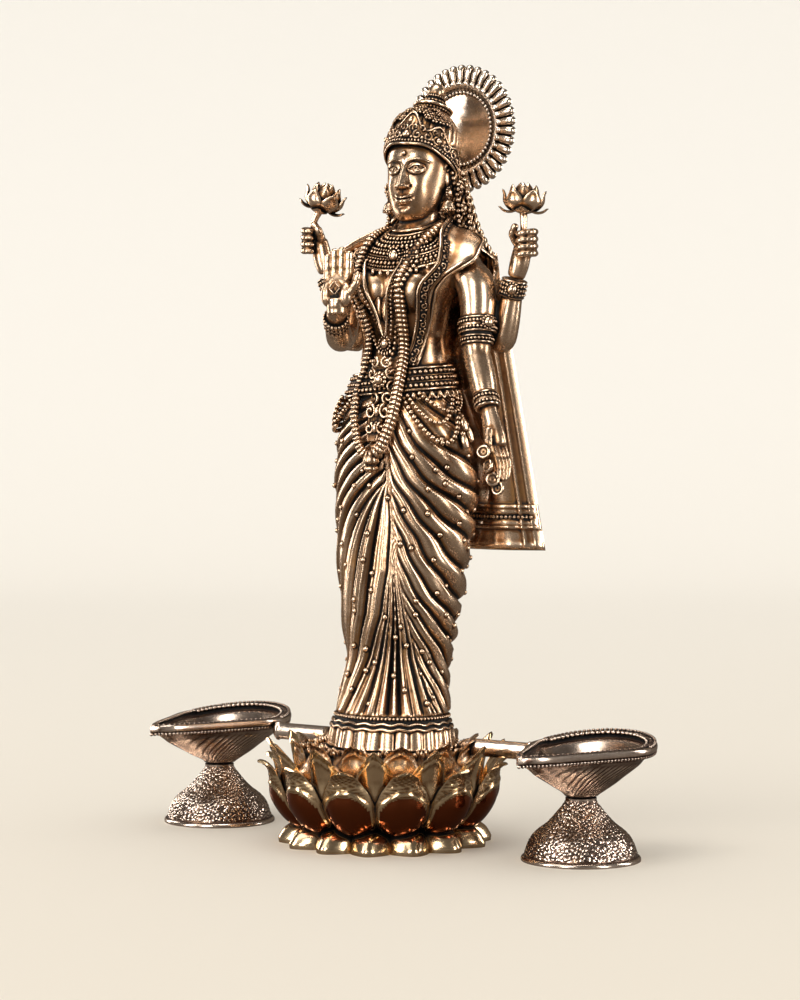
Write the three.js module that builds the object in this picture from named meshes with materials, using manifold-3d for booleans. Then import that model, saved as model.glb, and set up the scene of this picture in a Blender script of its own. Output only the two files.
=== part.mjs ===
// A standing four-armed goddess on a lotus base, with an oil lamp on a bell foot at each side, cast in brass.
// Millimetres, +Z up. The figure faces -Y, and the origin is the centre of the lotus underside on the ground.
import * as THREE from "three";
import { mergeVertices } from "three/addons/utils/BufferGeometryUtils.js";
import Module from "manifold-3d";

const wasm = await Module();
wasm.setup();

// Driving dimensions of the lotus base
const footPetals = 14;
const footReach = 46;
const footHeight = 8.5;
const rowPetals = 12;
const platformRadius = 34;
const platformTop = 42.5;
const petalThickness = 2.4;

// Driving dimensions of the figure and its halo
const figureHeight = 300;
const haloRadius = 29.5;
const haloLobes = 38;
const haloThickness = 4.5;

// Driving dimensions of one lamp
const lampSpread = 100;
const lampSetBack = 5.5;
const lampFootRadius = 26;
const lampNeckRadius = 6.8;
const lampNeckHeight = 27.2;
const bowlRadius = 28.5;
const bowlTipLength = 68;
const bowlSetBack = 10;
const bowlRimHeight = 49.5;
const bowlBandHeight = 3.4;
const bowlLipRise = 2.6;
const bowlWall = 2;
const lugWidth = 9;
const lugHeight = 5;
const lugSetBack = 12;

// Clearance kept between two castings that touch
const seatGap = 0.3;

const degrees = Math.PI / 180;
const lerp = THREE.MathUtils.lerp;
const clamp = THREE.MathUtils.clamp;
const point = (x, y, z) => new THREE.Vector3(x, y, z);

// Solids

// One closed geometry as a solid, its faces turned outwards
function solidOf(geometry) {
  const bare = geometry.clone();
  for (const name of Object.keys(bare.attributes)) {
    if (name !== "position") bare.deleteAttribute(name);
  }
  const merged = mergeVertices(bare, 1e-4);
  const position = merged.attributes.position;
  const corners = [0, 1, 2].map(() => new THREE.Vector3());
  const faces = [];
  let volume = 0;
  for (let i = 0; i < merged.index.count; i += 3) {
    const face = [0, 1, 2].map((k) => merged.index.getX(i + k));
    if (new Set(face).size < 3) continue;
    corners.forEach((corner, k) => corner.fromBufferAttribute(position, face[k]));
    volume += corners[0].dot(corners[1].clone().cross(corners[2]));
    faces.push(face);
  }
  const outward = volume < 0 ? faces.map(([a, b, c]) => [a, c, b]) : faces;
  const triVerts = new Uint32Array(outward.flat());
  return new wasm.Manifold(new wasm.Mesh({ numProp: 3, vertProperties: position.array, triVerts }));
}

const join = (solids) => solids.reduce((whole, next) => whole.add(next));

// A casting is solid right through, so pockets closed in between joined forms are filled
const withoutPockets = (solid) => solid.decompose().reduce((a, b) => (b.volume() > a.volume() ? b : a));

function geometryOf(solid) {
  const mesh = solid.getMesh();
  return new THREE.BufferGeometry()
    .setAttribute("position", new THREE.BufferAttribute(mesh.vertProperties, 3))
    .setIndex(new THREE.BufferAttribute(mesh.triVerts, 1));
}

// A closed skin over a row of rings with equally many points; an end ring of one point is a tip
function loftGeometry(rings) {
  const vertices = [];
  const faces = [];
  const starts = rings.map((ring) => {
    const start = vertices.length;
    vertices.push(...ring);
    return start;
  });
  const count = Math.max(...rings.map((ring) => ring.length));
  for (let r = 0; r + 1 < rings.length; r++) {
    for (let i = 0; i < count; i++) {
      const next = (i + 1) % count;
      const low = [i, next].map((k) => starts[r] + (rings[r].length > 1 ? k : 0));
      const high = [i, next].map((k) => starts[r + 1] + (rings[r + 1].length > 1 ? k : 0));
      if (low[0] !== low[1]) faces.push(low[0], low[1], high[1]);
      if (high[0] !== high[1]) faces.push(low[0], high[1], high[0]);
    }
  }
  const cap = (r, reversed) => {
    if (rings[r].length === 1) return;
    const middle = vertices.length;
    vertices.push(rings[r].reduce((sum, p) => sum.add(p), point(0, 0, 0)).divideScalar(count));
    for (let i = 0; i < count; i++) {
      const edge = [starts[r] + i, starts[r] + ((i + 1) % count)];
      faces.push(middle, ...(reversed ? edge.reverse() : edge));
    }
  };
  cap(0, true);
  cap(rings.length - 1, false);
  const geometry = new THREE.BufferGeometry().setFromPoints(vertices);
  return geometry.setIndex(faces);
}

const loft = (rings) => solidOf(loftGeometry(rings));

// A round limb through hand-set points, each with its radius, drawn smoothly between them
function limb(stations, sides, steps) {
  const path = new THREE.CatmullRomCurve3(stations.map((s) => point(s[0], s[1], s[2])));
  const frames = path.computeFrenetFrames(steps, false);
  const rings = [];
  for (let i = 0; i <= steps; i++) {
    const along = (i / steps) * (stations.length - 1);
    const k = Math.min(Math.floor(along), stations.length - 2);
    const radius = lerp(stations[k][3], stations[k + 1][3], along - k);
    const centre = path.getPoint(i / steps);
    rings.push(
      Array.from({ length: sides }, (_, j) => {
        const angle = (j / sides) * 2 * Math.PI;
        return centre
          .clone()
          .addScaledVector(frames.normals[i], radius * Math.cos(angle))
          .addScaledVector(frames.binormals[i], radius * Math.sin(angle));
      }),
    );
  }
  return loft(rings);
}

// A turned body on a vertical axis, its profile given as radius and height from the axis back to the axis
function turned(profile, segments) {
  const lathe = new THREE.LatheGeometry(profile.map(([r, z]) => new THREE.Vector2(r, z)), segments);
  return solidOf(lathe.rotateX(Math.PI / 2));
}

// A ball stretched to three half-widths
function ball(centre, halves, width, height) {
  const sphere = new THREE.SphereGeometry(1, width, height);
  return solidOf(sphere.rotateX(Math.PI / 2).scale(...halves).translate(...centre));
}

// A flattened ring or disc that circles an arm or neck, square to a direction
function band(centre, direction, radius, halfLength, sides = 8) {
  const ring = new THREE.CylinderGeometry(radius, radius, 2 * halfLength, sides);
  const turn = new THREE.Quaternion().setFromUnitVectors(
    point(0, 1, 0),
    point(...direction).normalize(),
  );
  return solidOf(ring.applyQuaternion(turn).translate(...centre));
}

// A petal that follows a curve in the plane of the axis, bulging outwards across its width
function petal({ route, width, bulge, thickness, widest = 0.5, steps = 5, full = true }) {
  const path = new THREE.CatmullRomCurve3(route.map(([r, z]) => point(0, -r, z)));
  const rings = [];
  for (let i = 0; i < steps; i++) {
    const u = i / steps;
    const centre = path.getPoint(u);
    const along = path.getTangent(u);
    const out = point(0, -along.z, along.y).multiplyScalar(Math.sign(along.z) || 1);
    const share = u < widest ? lerp(0.55, 1, Math.sin((u / widest) * 90 * degrees)) :
      Math.cos(((u - widest) / (1 - widest)) * 90 * degrees);
    const half = Math.max((width / 2) * share, thickness / 2);
    const sag = bulge * share;
    const at = (side, depth) => centre.clone().addScaledVector(out, -depth).add(point(side, 0, 0));
    const outside = full ? [at(-0.45 * half, 0.1 * sag), at(0.45 * half, 0.1 * sag)] : [at(0, 0)];
    rings.push([at(-half, sag), ...outside, at(half, sag), at(0, Math.max(thickness, 0.7 * sag))]);
  }
  return loft([...rings, [path.getPoint(1)]]);
}

// Copies of one solid set round the vertical axis
function round(solid, count, offsetDegrees) {
  return Array.from({ length: count }, (_, i) => solid.rotate([0, 0, offsetDegrees + (i * 360) / count]));
}

// Lotus base: a flared core with a ring of domed foot petals and three rows of opening petals

function lotusRow(tier) {
  return round(petal({ thickness: petalThickness, ...tier }), rowPetals, tier.turn);
}

const halfStep = 180 / rowPetals;
const outerTip = platformTop - 4.5;
const tiers = [
  {
    turn: halfStep,
    width: 22,
    bulge: 5,
    widest: 0.5,
    steps: 4,
    route: [[platformRadius - 2, 6], [platformRadius + 9, 11], [platformRadius + 16, 20],
      [platformRadius + 18.5, 29], [platformRadius + 20, outerTip - 3.5], [platformRadius + 24.5, outerTip]],
  },
  {
    turn: 0,
    width: 17,
    bulge: 3.5,
    widest: 0.45,
    steps: 3,
    full: false,
    route: [[platformRadius - 4, 10], [platformRadius + 11, 22], [platformRadius + 14, 36],
      [platformRadius + 20, platformTop + 4.5]],
  },
  {
    turn: halfStep,
    width: 17,
    bulge: 3,
    widest: 0.4,
    steps: 2,
    full: false,
    route: [[platformRadius, 22], [platformRadius + 5, 34], [platformRadius + 6, platformTop],
      [platformRadius + 9, platformTop + 5.5]],
  },
];

// A lamp bowl seen from above: a circle drawn out to a wick tip at the front by its two tangents
function bowlOutline(angle, grow) {
  const reach = Math.acos(bowlRadius / bowlTipLength);
  const off = Math.abs(Math.atan2(Math.sin(angle), Math.cos(angle)));
  const radius = (off < reach ? bowlRadius / Math.cos(reach - off) : bowlRadius) + grow;
  return point(radius * Math.sin(angle), bowlSetBack - radius * Math.cos(angle), 0);
}

// One ring of the bowl: spread 0 is the round neck, 1 the full outline; the lip rises towards the back
function bowlRing(spread, inset, height, lift) {
  const count = 18;
  return Array.from({ length: count }, (_, i) => {
    const angle = (i / count) * 2 * Math.PI;
    const neck = point(Math.sin(angle), -Math.cos(angle), 0).multiplyScalar(lampNeckRadius - inset);
    const edge = bowlOutline(angle, -inset);
    const ring = neck.lerp(edge, spread);
    ring.z = height + lift * bowlLipRise * Math.max(0, -Math.cos(angle)) ** 1.5;
    return ring;
  });
}

const bowlFloor = lampNeckHeight + seatGap;
const bandFoot = bowlRimHeight - bowlBandHeight;
const bowlOuterRings = [
  bowlRing(0, 0, bowlFloor, 0),
  bowlRing(0.28, 0, lerp(bowlFloor, bandFoot, 0.28), 0.1),
  bowlRing(0.62, 0, lerp(bowlFloor, bandFoot, 0.62), 0.4),
  bowlRing(0.86, 0, lerp(bowlFloor, bandFoot, 0.93), 0.9),
  bowlRing(1, 0.4, bandFoot, 1),
  bowlRing(1, 0, bowlRimHeight, 1),
];
const bowlInnerRings = [
  bowlRing(1, bowlWall * 1.6, bowlRimHeight, 1),
  bowlRing(0.86, bowlWall * 1.3, lerp(bowlFloor, bandFoot, 0.93) + bowlWall * 0.5, 0.9),
  bowlRing(0.62, bowlWall, lerp(bowlFloor, bandFoot, 0.62) + bowlWall, 0.4),
  bowlRing(0.28, bowlWall, lerp(bowlFloor, bandFoot, 0.28) + bowlWall, 0.1),
];

function lampBowl() {
  return loft([...bowlOuterRings, ...bowlInnerRings]);
}

// The bowl filled up and grown by a clearance, used to cut what meets it
function bowlBlank(clearance) {
  const grown = bowlOuterRings.map((ring) =>
    ring.map((p) => {
      const out = point(p.x, p.y - bowlSetBack, 0).normalize();
      return p.clone().addScaledVector(out, clearance);
    }),
  );
  const lowest = grown[0].map((p) => p.clone().add(point(0, 0, -clearance)));
  const highest = grown.at(-1).map((p) => p.clone().add(point(0, 0, clearance)));
  return loft([lowest, ...grown, highest]);
}

function lampFoot() {
  const flare = lampFootRadius - lampNeckRadius;
  const shape = [[1, 0], [1, 0.04], [0.95, 0.07], [0.89, 0.19], [0.8, 0.32], [0.66, 0.45], [0.41, 0.59],
    [0.235, 0.72], [0, 1]];
  const profile = shape.map(([out, up]) => [lampNeckRadius + flare * out, lampNeckHeight * up]);
  return turned([[0, 0], ...profile, [0, lampNeckHeight]], 13);
}

const lampPlace = (side) => [side * lampSpread, lampSetBack, 0];

// A flat lug cast on the lotus base reaches out to each bowl and stops a clearance short of it
function lug(side) {
  const root = platformRadius - 4;
  const length = lampSpread - root;
  const bar = new THREE.BoxGeometry(length, lugWidth, lugHeight);
  const middle = root + length / 2;
  const top = bandFoot + lugHeight * 0.1;
  const placed = bar.translate(side * middle, lugSetBack, top - lugHeight / 2);
  const clearOf = bowlBlank(seatGap).translate(lampPlace(side));
  const cut = solidOf(placed).subtract(clearOf);
  const pieces = cut.decompose();
  const reach = (piece) => Math.abs(piece.boundingBox()[side > 0 ? "min" : "max"][0]);
  return pieces.reduce((best, next) => (reach(next) < reach(best) ? next : best));
}

function lotusBase() {
  const core = turned(
    [[0, 0], [platformRadius + 3, 0], [platformRadius + 2, 5], [platformRadius - 4, 9],
      [platformRadius + 4, 20], [platformRadius + 6, 32], [platformRadius + 2, platformTop - 2],
      [platformRadius, platformTop], [0, platformTop]],
    14,
  );
  const footHalf = (Math.PI * (footReach - 6)) / footPetals;
  const lobe = ball([0, -(footReach - 13), 0], [footHalf, 13, footHeight], 7, 3);
  const ground = solidOf(new THREE.BoxGeometry(600, 600, 60).translate(0, 0, -30));
  const petals = tiers.flatMap(lotusRow);
  return join([core, ...round(lobe, footPetals, 0), ...petals, lug(1), lug(-1)]).subtract(ground);
}

// Figure, laid out at a height of 300 from hem to crown top, with z from the hem, and scaled to figureHeight

const designHeight = 300;
const figureScale = figureHeight / designHeight;
const figureLift = platformTop + seatGap;

// Body levels: height, centre x, centre y, half-width, half-depth
const bodyLevels = [
  [0, 0, 4.5, 29.5, 25],
  [9, 0, 5, 28, 23.5],
  [15, 0, 5.5, 26, 22],
  [38, 0, 10, 23.5, 20],
  [56, 0, 11.5, 26.5, 21.5],
  [75, 0, 13, 29, 23.5],
  [100, 0, 15.5, 32, 25],
  [118, 0, 16, 33, 25.5],
  [135, 0, 15, 31.5, 24],
  [147, 0, 13.5, 28.5, 21.5],
  [160, 0.3, 13, 24.5, 18.5],
  [170, 0.8, 14, 21.5, 15.5],
  [179, 1.3, 14.5, 19, 13.5],
  [190, 1.6, 15, 20, 15],
  [202, 2, 15, 23, 17],
  [211, 2.4, 16, 30, 17],
  [218, 2.7, 17, 37, 15],
  [224, 3, 18, 29, 14],
  [231, 3.4, 19, 19, 12.5],
  [238, 3.6, 20, 11, 11],
  [247, 4.2, 22, 8.5, 9],
];

// The body's centre and half-widths at a height, drawn smoothly through the levels
function bodyAt(z) {
  const above = bodyLevels.findIndex((level) => level[0] > z);
  const k = above < 0 ? bodyLevels.length - 2 : Math.max(above - 1, 0);
  const [before, low, high, after] = [-1, 0, 1, 2].map(
    (step) => bodyLevels[clamp(k + step, 0, bodyLevels.length - 1)],
  );
  const t = clamp((z - low[0]) / (high[0] - low[0]), 0, 1);
  const column = (c) => {
    const rise = high[0] - low[0];
    const lowSlope = ((high[c] - before[c]) / Math.max(high[0] - before[0], 1)) * rise;
    const highSlope = ((after[c] - low[c]) / Math.max(after[0] - low[0], 1)) * rise;
    const t2 = t * t;
    const t3 = t2 * t;
    return (
      (2 * t3 - 3 * t2 + 1) * low[c] + (t3 - 2 * t2 + t) * lowSlope +
      (3 * t2 - 2 * t3) * high[c] + (t3 - t2) * highSlope
    );
  };
  return { x: column(1), y: column(2), wide: column(3), deep: column(4) };
}

// A point on the body: angle from the front towards her left, standing out by some millimetres
function onBody(angle, z, out = 0) {
  const level = bodyAt(z);
  return point(
    level.x + (level.wide + out) * Math.sin(angle * degrees),
    level.y - (level.deep + out) * Math.cos(angle * degrees),
    z,
  );
}

// Drapery: a fan of upright pleats in front, and folds that sweep down and outwards on both sides
const fanAngle = 25;
const fanTop = 94;
const pleatStart = -32;
const pleatStep = 7.8;
const hemTop = 15;
const beltLow = 159;
const beltHigh = 170;
const beltOut = 2;

function foldDepth(angle, z) {
  const opening = clamp((fanTop - z) / (fanTop - hemTop), 0, 1);
  const fanHalf = 4 + 42 * opening ** 0.9;
  const off = angle - fanAngle;
  const beyond = (Math.abs(off) - fanHalf) * degrees;
  if (beyond < 0) return (0.3 + opening) * Math.cos(((angle - pleatStart) / pleatStep) * Math.PI);
  const towardsBack = clamp(1.25 - beyond / 2.4, 0.2, 1);
  const left = off > 0;
  const drop = (left ? 30 : 52) * (1 - Math.exp(-beyond / (left ? 0.6 : 0.85)));
  const spacing = left ? 14 : 17;
  const wave = Math.abs(Math.sin((Math.PI * (z + drop)) / spacing));
  const upper = 1 - 0.5 * clamp((z - 120) / 30, 0, 1);
  return 3.8 * towardsBack * upper * (wave - 0.5);
}

function skirt() {
  const front = Array.from({ length: 17 }, (_, i) => pleatStart + i * pleatStep);
  const back = Array.from({ length: 7 }, (_, i) => 118 + i * 27);
  const angles = [...front, ...back];
  const ring = (z, out) => angles.map((a) => onBody(a, z, out(a, z)));
  const pleat = (a) => 1.3 * Math.abs(Math.sin(a * 9 * degrees)) - 0.4;
  const rings = [
    ring(0, pleat),
    ring(8.5, () => 0.3),
    ring(9.5, () => 1.2),
    ring(13.5, () => 1.2),
    ring(hemTop, () => 0),
  ];
  const rows = 19;
  for (let i = 1; i <= rows; i++) {
    rings.push(ring(lerp(hemTop, beltLow, i / rows), foldDepth));
  }
  const belt = () => beltOut;
  return loft([...rings, ring(beltLow + 1, belt), ring(beltHigh - 1, belt), ring(beltHigh, () => 0)]);
}

// Two broad necklaces stand out from the chest and the neck
const necklaceOut = 1.8;

function torso() {
  const levels = [[beltLow, -2], [179, 0], [190, 0], [202, 0], [210, 0], [211, necklaceOut],
    [222, necklaceOut], [224, 0], [229, necklaceOut], [234, necklaceOut], [235, 0], [247, 0]];
  const angles = Array.from({ length: 12 }, (_, i) => i * 30);
  return loft(levels.map(([z, out]) => angles.map((a) => onBody(a, z, out))));
}

function bust(side) {
  return ball([2.2 + side * 9, 3, 202], [8.5, 8, 8.5], 7, 5);
}

// The cloth end that falls from her left shoulder down her back, rippled and with a thick edge
const clothTop = 222;
const clothHem = 88;
const clothThickness = 2.4;

function clothEnd() {
  const columns = 6;
  const rows = 3;
  const rings = [];
  for (let r = 0; r <= rows; r++) {
    const fall = r / rows;
    const z = lerp(clothTop, clothHem, fall);
    const outer = [];
    const inner = [];
    for (let c = 0; c <= columns; c++) {
      const across = c / columns;
      const x = lerp(lerp(41, 55, fall), lerp(-18, -16, fall), across);
      const behind = bodyAt(Math.min(z, 214));
      const wrap = Math.sqrt(Math.max(0, 1 - ((x - behind.x) / (behind.wide + 6)) ** 2));
      const hang = lerp(27, 41, fall);
      const ripple = 0.8 * Math.cos(c * Math.PI) * fall;
      const y = Math.max(hang, behind.y + (behind.deep + clothThickness) * wrap) + ripple;
      inner.push(point(x, y - clothThickness - 3 * wrap, z));
      outer.push(point(x, y, z));
    }
    rings.push([...outer, ...inner.reverse()]);
  }
  return loft(rings);
}

// Head, face and crown share a frame at the middle of the head, tilted back a little
const headPlace = [6, 24.5, 259];
const crownTilt = -11;

function headParts() {
  const levels = [[-19, -9, 4, 4], [-16.5, -8, 7.5, 7.5], [-9, -4.5, 11.5, 12.5], [1, -0.5, 13.8, 15.5],
    [9, 0.5, 13.8, 16], [14, 1.5, 11, 13]];
  const skull = loft(
    levels.map(([z, y, wide, deep]) =>
      Array.from({ length: 10 }, (_, i) => {
        const angle = (i * 36 + 18) * degrees;
        return point(wide * Math.sin(angle), y - deep * Math.cos(angle), z);
      }),
    ),
  );
  const nose = loft([
    [point(-1.1, -14, 6), point(1.1, -14, 6), point(0, -15, 6)],
    [point(-2.5, -14.5, -2.5), point(2.5, -14.5, -2.5), point(0, -19.2, -2.2)],
    [point(-1.6, -14.5, -4), point(1.6, -14.5, -4), point(0, -16, -4)],
  ]);
  const eye = (side) => ball([side * 5.2, -12.6, 4], [3.1, 2.6, 1.7], 5, 3);
  const lips = ball([0, -14.2, -8], [3.6, 2.2, 1.4], 5, 3);
  const ear = (side) => ball([side * 13.4, 0.5, 0], [1.8, 3.4, 6.5], 5, 4);
  const earring = (side) => ball([side * 13.6, -0.5, -10.5], [2.6, 2.6, 3.6], 5, 3);
  const hair = limb([[0, 10, 8, 12], [0, 14, -8, 11], [-1, 13, -24, 13], [-2, 12, -38, 15]], 7, 2);
  return [skull, nose, lips, hair, ...[1, -1].flatMap((side) => [eye(side), ear(side), earring(side)])];
}

function crown() {
  const shape = [[0, -2], [17, 0], [16.4, 8], [14, 15], [10, 20], [11, 22], [6.8, 24], [7, 26.6], [4.8, 28],
    [4.4, 31], [0, 33]];
  const fluted = new THREE.LatheGeometry(shape.map(([r, z]) => new THREE.Vector2(r, z)), 12);
  fluted.rotateX(Math.PI / 2);
  const position = fluted.attributes.position;
  for (let i = 0; i < position.count; i++) {
    const [x, y, z] = [position.getX(i), position.getY(i), position.getZ(i)];
    const flute = 1 + (z > 5 && z < 20 ? 0.035 * Math.cos(Math.atan2(y, x) * 6) : 0);
    position.setXY(i, x * flute, y * flute);
  }
  const leaf = (angle, height) => {
    const route = [[15, -1], [17.5, 4], [15.6, height]];
    return petal({ route, width: 9, bulge: 1, thickness: 2, steps: 2, full: false }).rotate([0, 0, angle]);
  };
  const tiara = [leaf(0, 15), leaf(50, 11), leaf(-50, 11)];
  return join([solidOf(fluted), ...tiara]).rotate([crownTilt, 0, 0]).translate([0, 2.5, 9]);
}

// Arms: stations of x, y, z and radius from the shoulder to the wrist
const restingArm = [[33, 17, 214, 9.2], [39, 16, 204, 8.6], [40.5, 14, 190, 7.2], [41.6, 12, 178, 6.3],
  [47, 8.5, 164, 6.3], [52.4, 4.5, 151, 4.4]];
const blessingArm = [[-28, 16, 213, 9], [-33, 15, 200, 8], [-31, 12, 184, 6.8], [-24, -2, 187, 6.2],
  [-15.5, -15, 193, 4.5], [-14, -16.8, 200, 4]];
const raisedArms = {
  left: [[30, 24, 207, 8], [40, 27, 190, 6.8], [45.5, 26, 182, 6], [50, 25, 196, 5.4], [54, 24, 210, 4.6]],
  right: [[-26, 24, 207, 8], [-33, 27, 190, 6.8], [-36, 26, 183, 6], [-43, 25, 199, 5.4],
    [-50, 24, 215, 4.6]],
};

// A finger as a thin limb with a rounded end
function finger(from, knuckle, to, radius) {
  return limb([[...from, radius], [...knuckle, radius], [...to, radius * 0.75]], 4, 2);
}

// The open hand that faces forward with its fingers up
function blessingHand() {
  const palm = ball([-14, -17, 204.5], [6.6, 3.6, 9], 8, 5);
  const fingers = [-1.5, -0.5, 0.5, 1.5].map((k) => {
    const x = -14 + k * 3.2;
    const top = 224 - 1.6 * Math.abs(k - 0.4);
    return finger([x, -17, 209], [x, -17.6, 216], [x + 0.2 * k, -16.6, top], 1.7);
  });
  const thumb = finger([-9.5, -17, 202], [-7, -18, 207], [-6.6, -17.6, 212], 1.8);
  return [palm, ...fingers, thumb];
}

// The lowered hand with coins running from its fingers
function givingHand() {
  const palm = limb([[52, 5, 153, 4.2], [56, 3, 143, 5.2], [60, 1.8, 133, 4.8]], 6, 3);
  const fingers = [-1, 0, 1].map((k) =>
    finger([60 + 0.7 * k, 2 + 3 * k, 135], [63.5, 0.8 + 3 * k, 127], [64.5, -1.5 + 2.8 * k, 119.5], 1.9),
  );
  const thumb = finger([56, -2, 141], [56.5, -5, 135], [58, -5.6, 129], 1.7);
  const coins = [[57.5, -5.5, 133], [60, -5, 126.5], [62.5, -4.5, 120]].map(
    (centre, i) => ball(centre, [3.2, 2.4, 2.9 - 0.15 * i], 5, 3),
  );
  return [palm, ...fingers, thumb, ...coins];
}

// A raised fist round a lotus stem, with the open flower above it
function lotusInHand(fist, flower, tilt) {
  const [x, y, z] = fist;
  const folds = Array.from({ length: 7 }, (_, i) => [x, y - 1, z + 2.4 * (i - 3), i % 2 ? 6.6 : 5.4]);
  const fingers = limb(folds, 6, folds.length - 1);
  const stem = limb([[x + 1, y - 2, z - 10, 1.7], [x, y - 2, z, 2], [...flower, 2.2]], 5, 3);
  const petals = 6;
  const ring = (radius, height, dip) =>
    Array.from({ length: 2 * petals }, (_, i) => {
      const angle = (i * Math.PI) / petals;
      const inward = i % 2 ? dip : 0;
      const r = radius - inward;
      return point(r * Math.sin(angle), -r * Math.cos(angle), height - inward);
    });
  const cup = loft([ring(2, -2, 0), ring(8, 0.5, 0.8), ring(9.4, 5.5, 1.6), ring(7.4, 10, 2.2),
    [point(0, 0, 9)]]);
  const route = [[1.7, 0.3], [6.5, -1.8], [11.4, 0.9]];
  const sepal = petal({ route, width: 6, bulge: 1, thickness: 1.7, steps: 2, full: false });
  const bloom = join([cup, ...round(sepal, 3, 20)]);
  return [fingers, stem, bloom.rotate([0, tilt, 0]).translate(flower)];
}

// A thick flower garland worn over the shoulders down to the thighs, in short bulging segments
function garland() {
  const stations = [[12, 28, 233], [17, 15, 231], [12, 4, 222], [8.5, -2.5, 208], [7.5, -3.5, 192],
    [7, -3, 178], [8, -6, 163], [9, -9, 148], [6.5, -11, 137], [0, -12.2, 131], [-7, -10.5, 137],
    [-11, -7, 150], [-10.5, -3.5, 165], [-8.5, -1, 179], [-10, -0.5, 193], [-11, 1, 208], [-11, 6, 220],
    [-9, 15, 230], [-5, 28, 233]];
  const path = new THREE.CatmullRomCurve3(stations.map((s) => point(...s)));
  const steps = 30;
  const beads = path.getSpacedPoints(steps).map((p, i) => [p.x, p.y, p.z, i % 2 ? 2.9 : 2.2]);
  const pendant = ball([0, -12.6, 127.5], [3.6, 3.2, 4.6], 6, 5);
  return [limb(beads, 4, steps), pendant];
}

function jewellery() {
  const buckle = ball([0.8, -6, 165], [6.5, 3.6, 6], 8, 4);
  const apron = loft([
    [point(-6, -4, 160), point(7, -4, 160), point(6, -8.5, 160), point(-5, -8.5, 160)],
    [point(-7, -5, 148), point(8, -5, 148), point(6, -10.5, 148), point(-5, -10.5, 148)],
    [point(-2, -8, 137), point(3, -8, 137), point(2, -12, 137), point(-1, -12, 137)],
  ]);
  const bracelets = [
    band([40.4, 14.2, 188], [1, -1.2, -9], 8.6, 4.2),
    band([51, 5.7, 154.5], [4, -3, -10], 6.2, 3.4),
    band([-17.8, -11.6, 191.6], [6, -10, 4.5], 6, 2.6),
    band([53, 24.2, 207.5], [3, -0.7, 10], 6.4, 4),
    band([-48.4, 24.2, 212], [-5, -0.7, 12], 6.2, 4),
  ];
  return [buckle, apron, ...bracelets];
}

function figureSolid() {
  const head = join([...headParts(), crown()]).translate(headPlace);
  const flowerLeft = lotusInHand([60.5, 22, 224], [59.5, 22, 241], 4);
  const flowerRight = lotusInHand([-55.5, 22, 229], [-51.5, 22, 246], 22);
  const arms = [restingArm, blessingArm, raisedArms.left, raisedArms.right].map((arm) => limb(arm, 6, 6));
  const palms = [limb([[54, 24, 210, 4.6], [60, 22, 222, 4.4]], 6, 1),
    limb([[-50, 24, 215, 4.6], [-55, 22, 227, 4.4]], 6, 1)];
  const parts = [skirt(), torso(), bust(1), bust(-1), clothEnd(), head, ...arms, ...palms, ...blessingHand(),
    ...givingHand(), ...flowerLeft, ...flowerRight, ...garland(), ...jewellery()];
  return withoutPockets(join(parts)).scale(figureScale).translate([0, 0, figureLift]);
}

// Halo: a shallow dish with a ring of rounded lobes, on a short stem that reaches the back of the crown

const haloCentre = point(8, 50, 281).multiplyScalar(figureScale).add(point(0, 0, figureLift));

function haloSolid() {
  const half = haloThickness / 2;
  const dish = haloRadius * 0.7;
  const count = haloLobes * 2;
  const ring = (radius, scallop, depth) =>
    Array.from({ length: count }, (_, i) => {
      const angle = (i / count) * 2 * Math.PI;
      const r = radius - (i % 2 ? scallop : 0);
      return point(r * Math.sin(angle), -r * Math.cos(angle), depth);
    });
  const upright = loft([
    [point(0, 0, -half - 0.4)],
    ring(haloRadius - 4, 0.8, -half),
    ring(haloRadius, 2, 0),
    ring(haloRadius - 4, 0.8, half),
    ring(dish + 0.8, 0, half + 0.6),
    ring(dish - 1.4, 0, half * 0.5),
    [point(0, 0, -0.8)],
  ]).rotate([90, 0, 0]);
  const stem = limb([[0, 1.6, 0, 2.6], [-1, -14, 0, 2.6]], 6, 1);
  return join([upright, stem]).translate([haloCentre.x, haloCentre.y, haloCentre.z]);
}

// Assembly

const polishedBrass = new THREE.MeshStandardMaterial({ color: 0xb98a4e, roughness: 0.28, metalness: 1 });
const antiqueBrass = new THREE.MeshStandardMaterial({ color: 0xa57f58, roughness: 0.34, metalness: 1 });
const lampBrass = new THREE.MeshStandardMaterial({ color: 0x8f6d55, roughness: 0.36, metalness: 1 });

function piece(name, solid, material, place = [0, 0, 0]) {
  const mesh = new THREE.Mesh(geometryOf(solid), material);
  mesh.name = name;
  mesh.position.set(...place);
  return mesh;
}

const figure = figureSolid();
const blank = figure.add(figure.translate([0, seatGap, 0])).add(figure.translate([0, 2 * seatGap, 0]));

const object = new THREE.Group();
object.add(piece("lotus_base", lotusBase(), polishedBrass));
object.add(piece("figure", figure, antiqueBrass));
object.add(piece("halo", haloSolid().subtract(blank), antiqueBrass));
for (const [name, side] of [["left", 1], ["right", -1]]) {
  object.add(piece("lamp_foot_" + name, lampFoot(), lampBrass, lampPlace(side)));
  object.add(piece("lamp_bowl_" + name, lampBowl(), lampBrass, lampPlace(side)));
}

export default object;
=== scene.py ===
import math
import random

import bmesh
import bpy
import numpy as np
from mathutils import Matrix, Vector, noise
from mathutils.bvhtree import BVHTree


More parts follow.
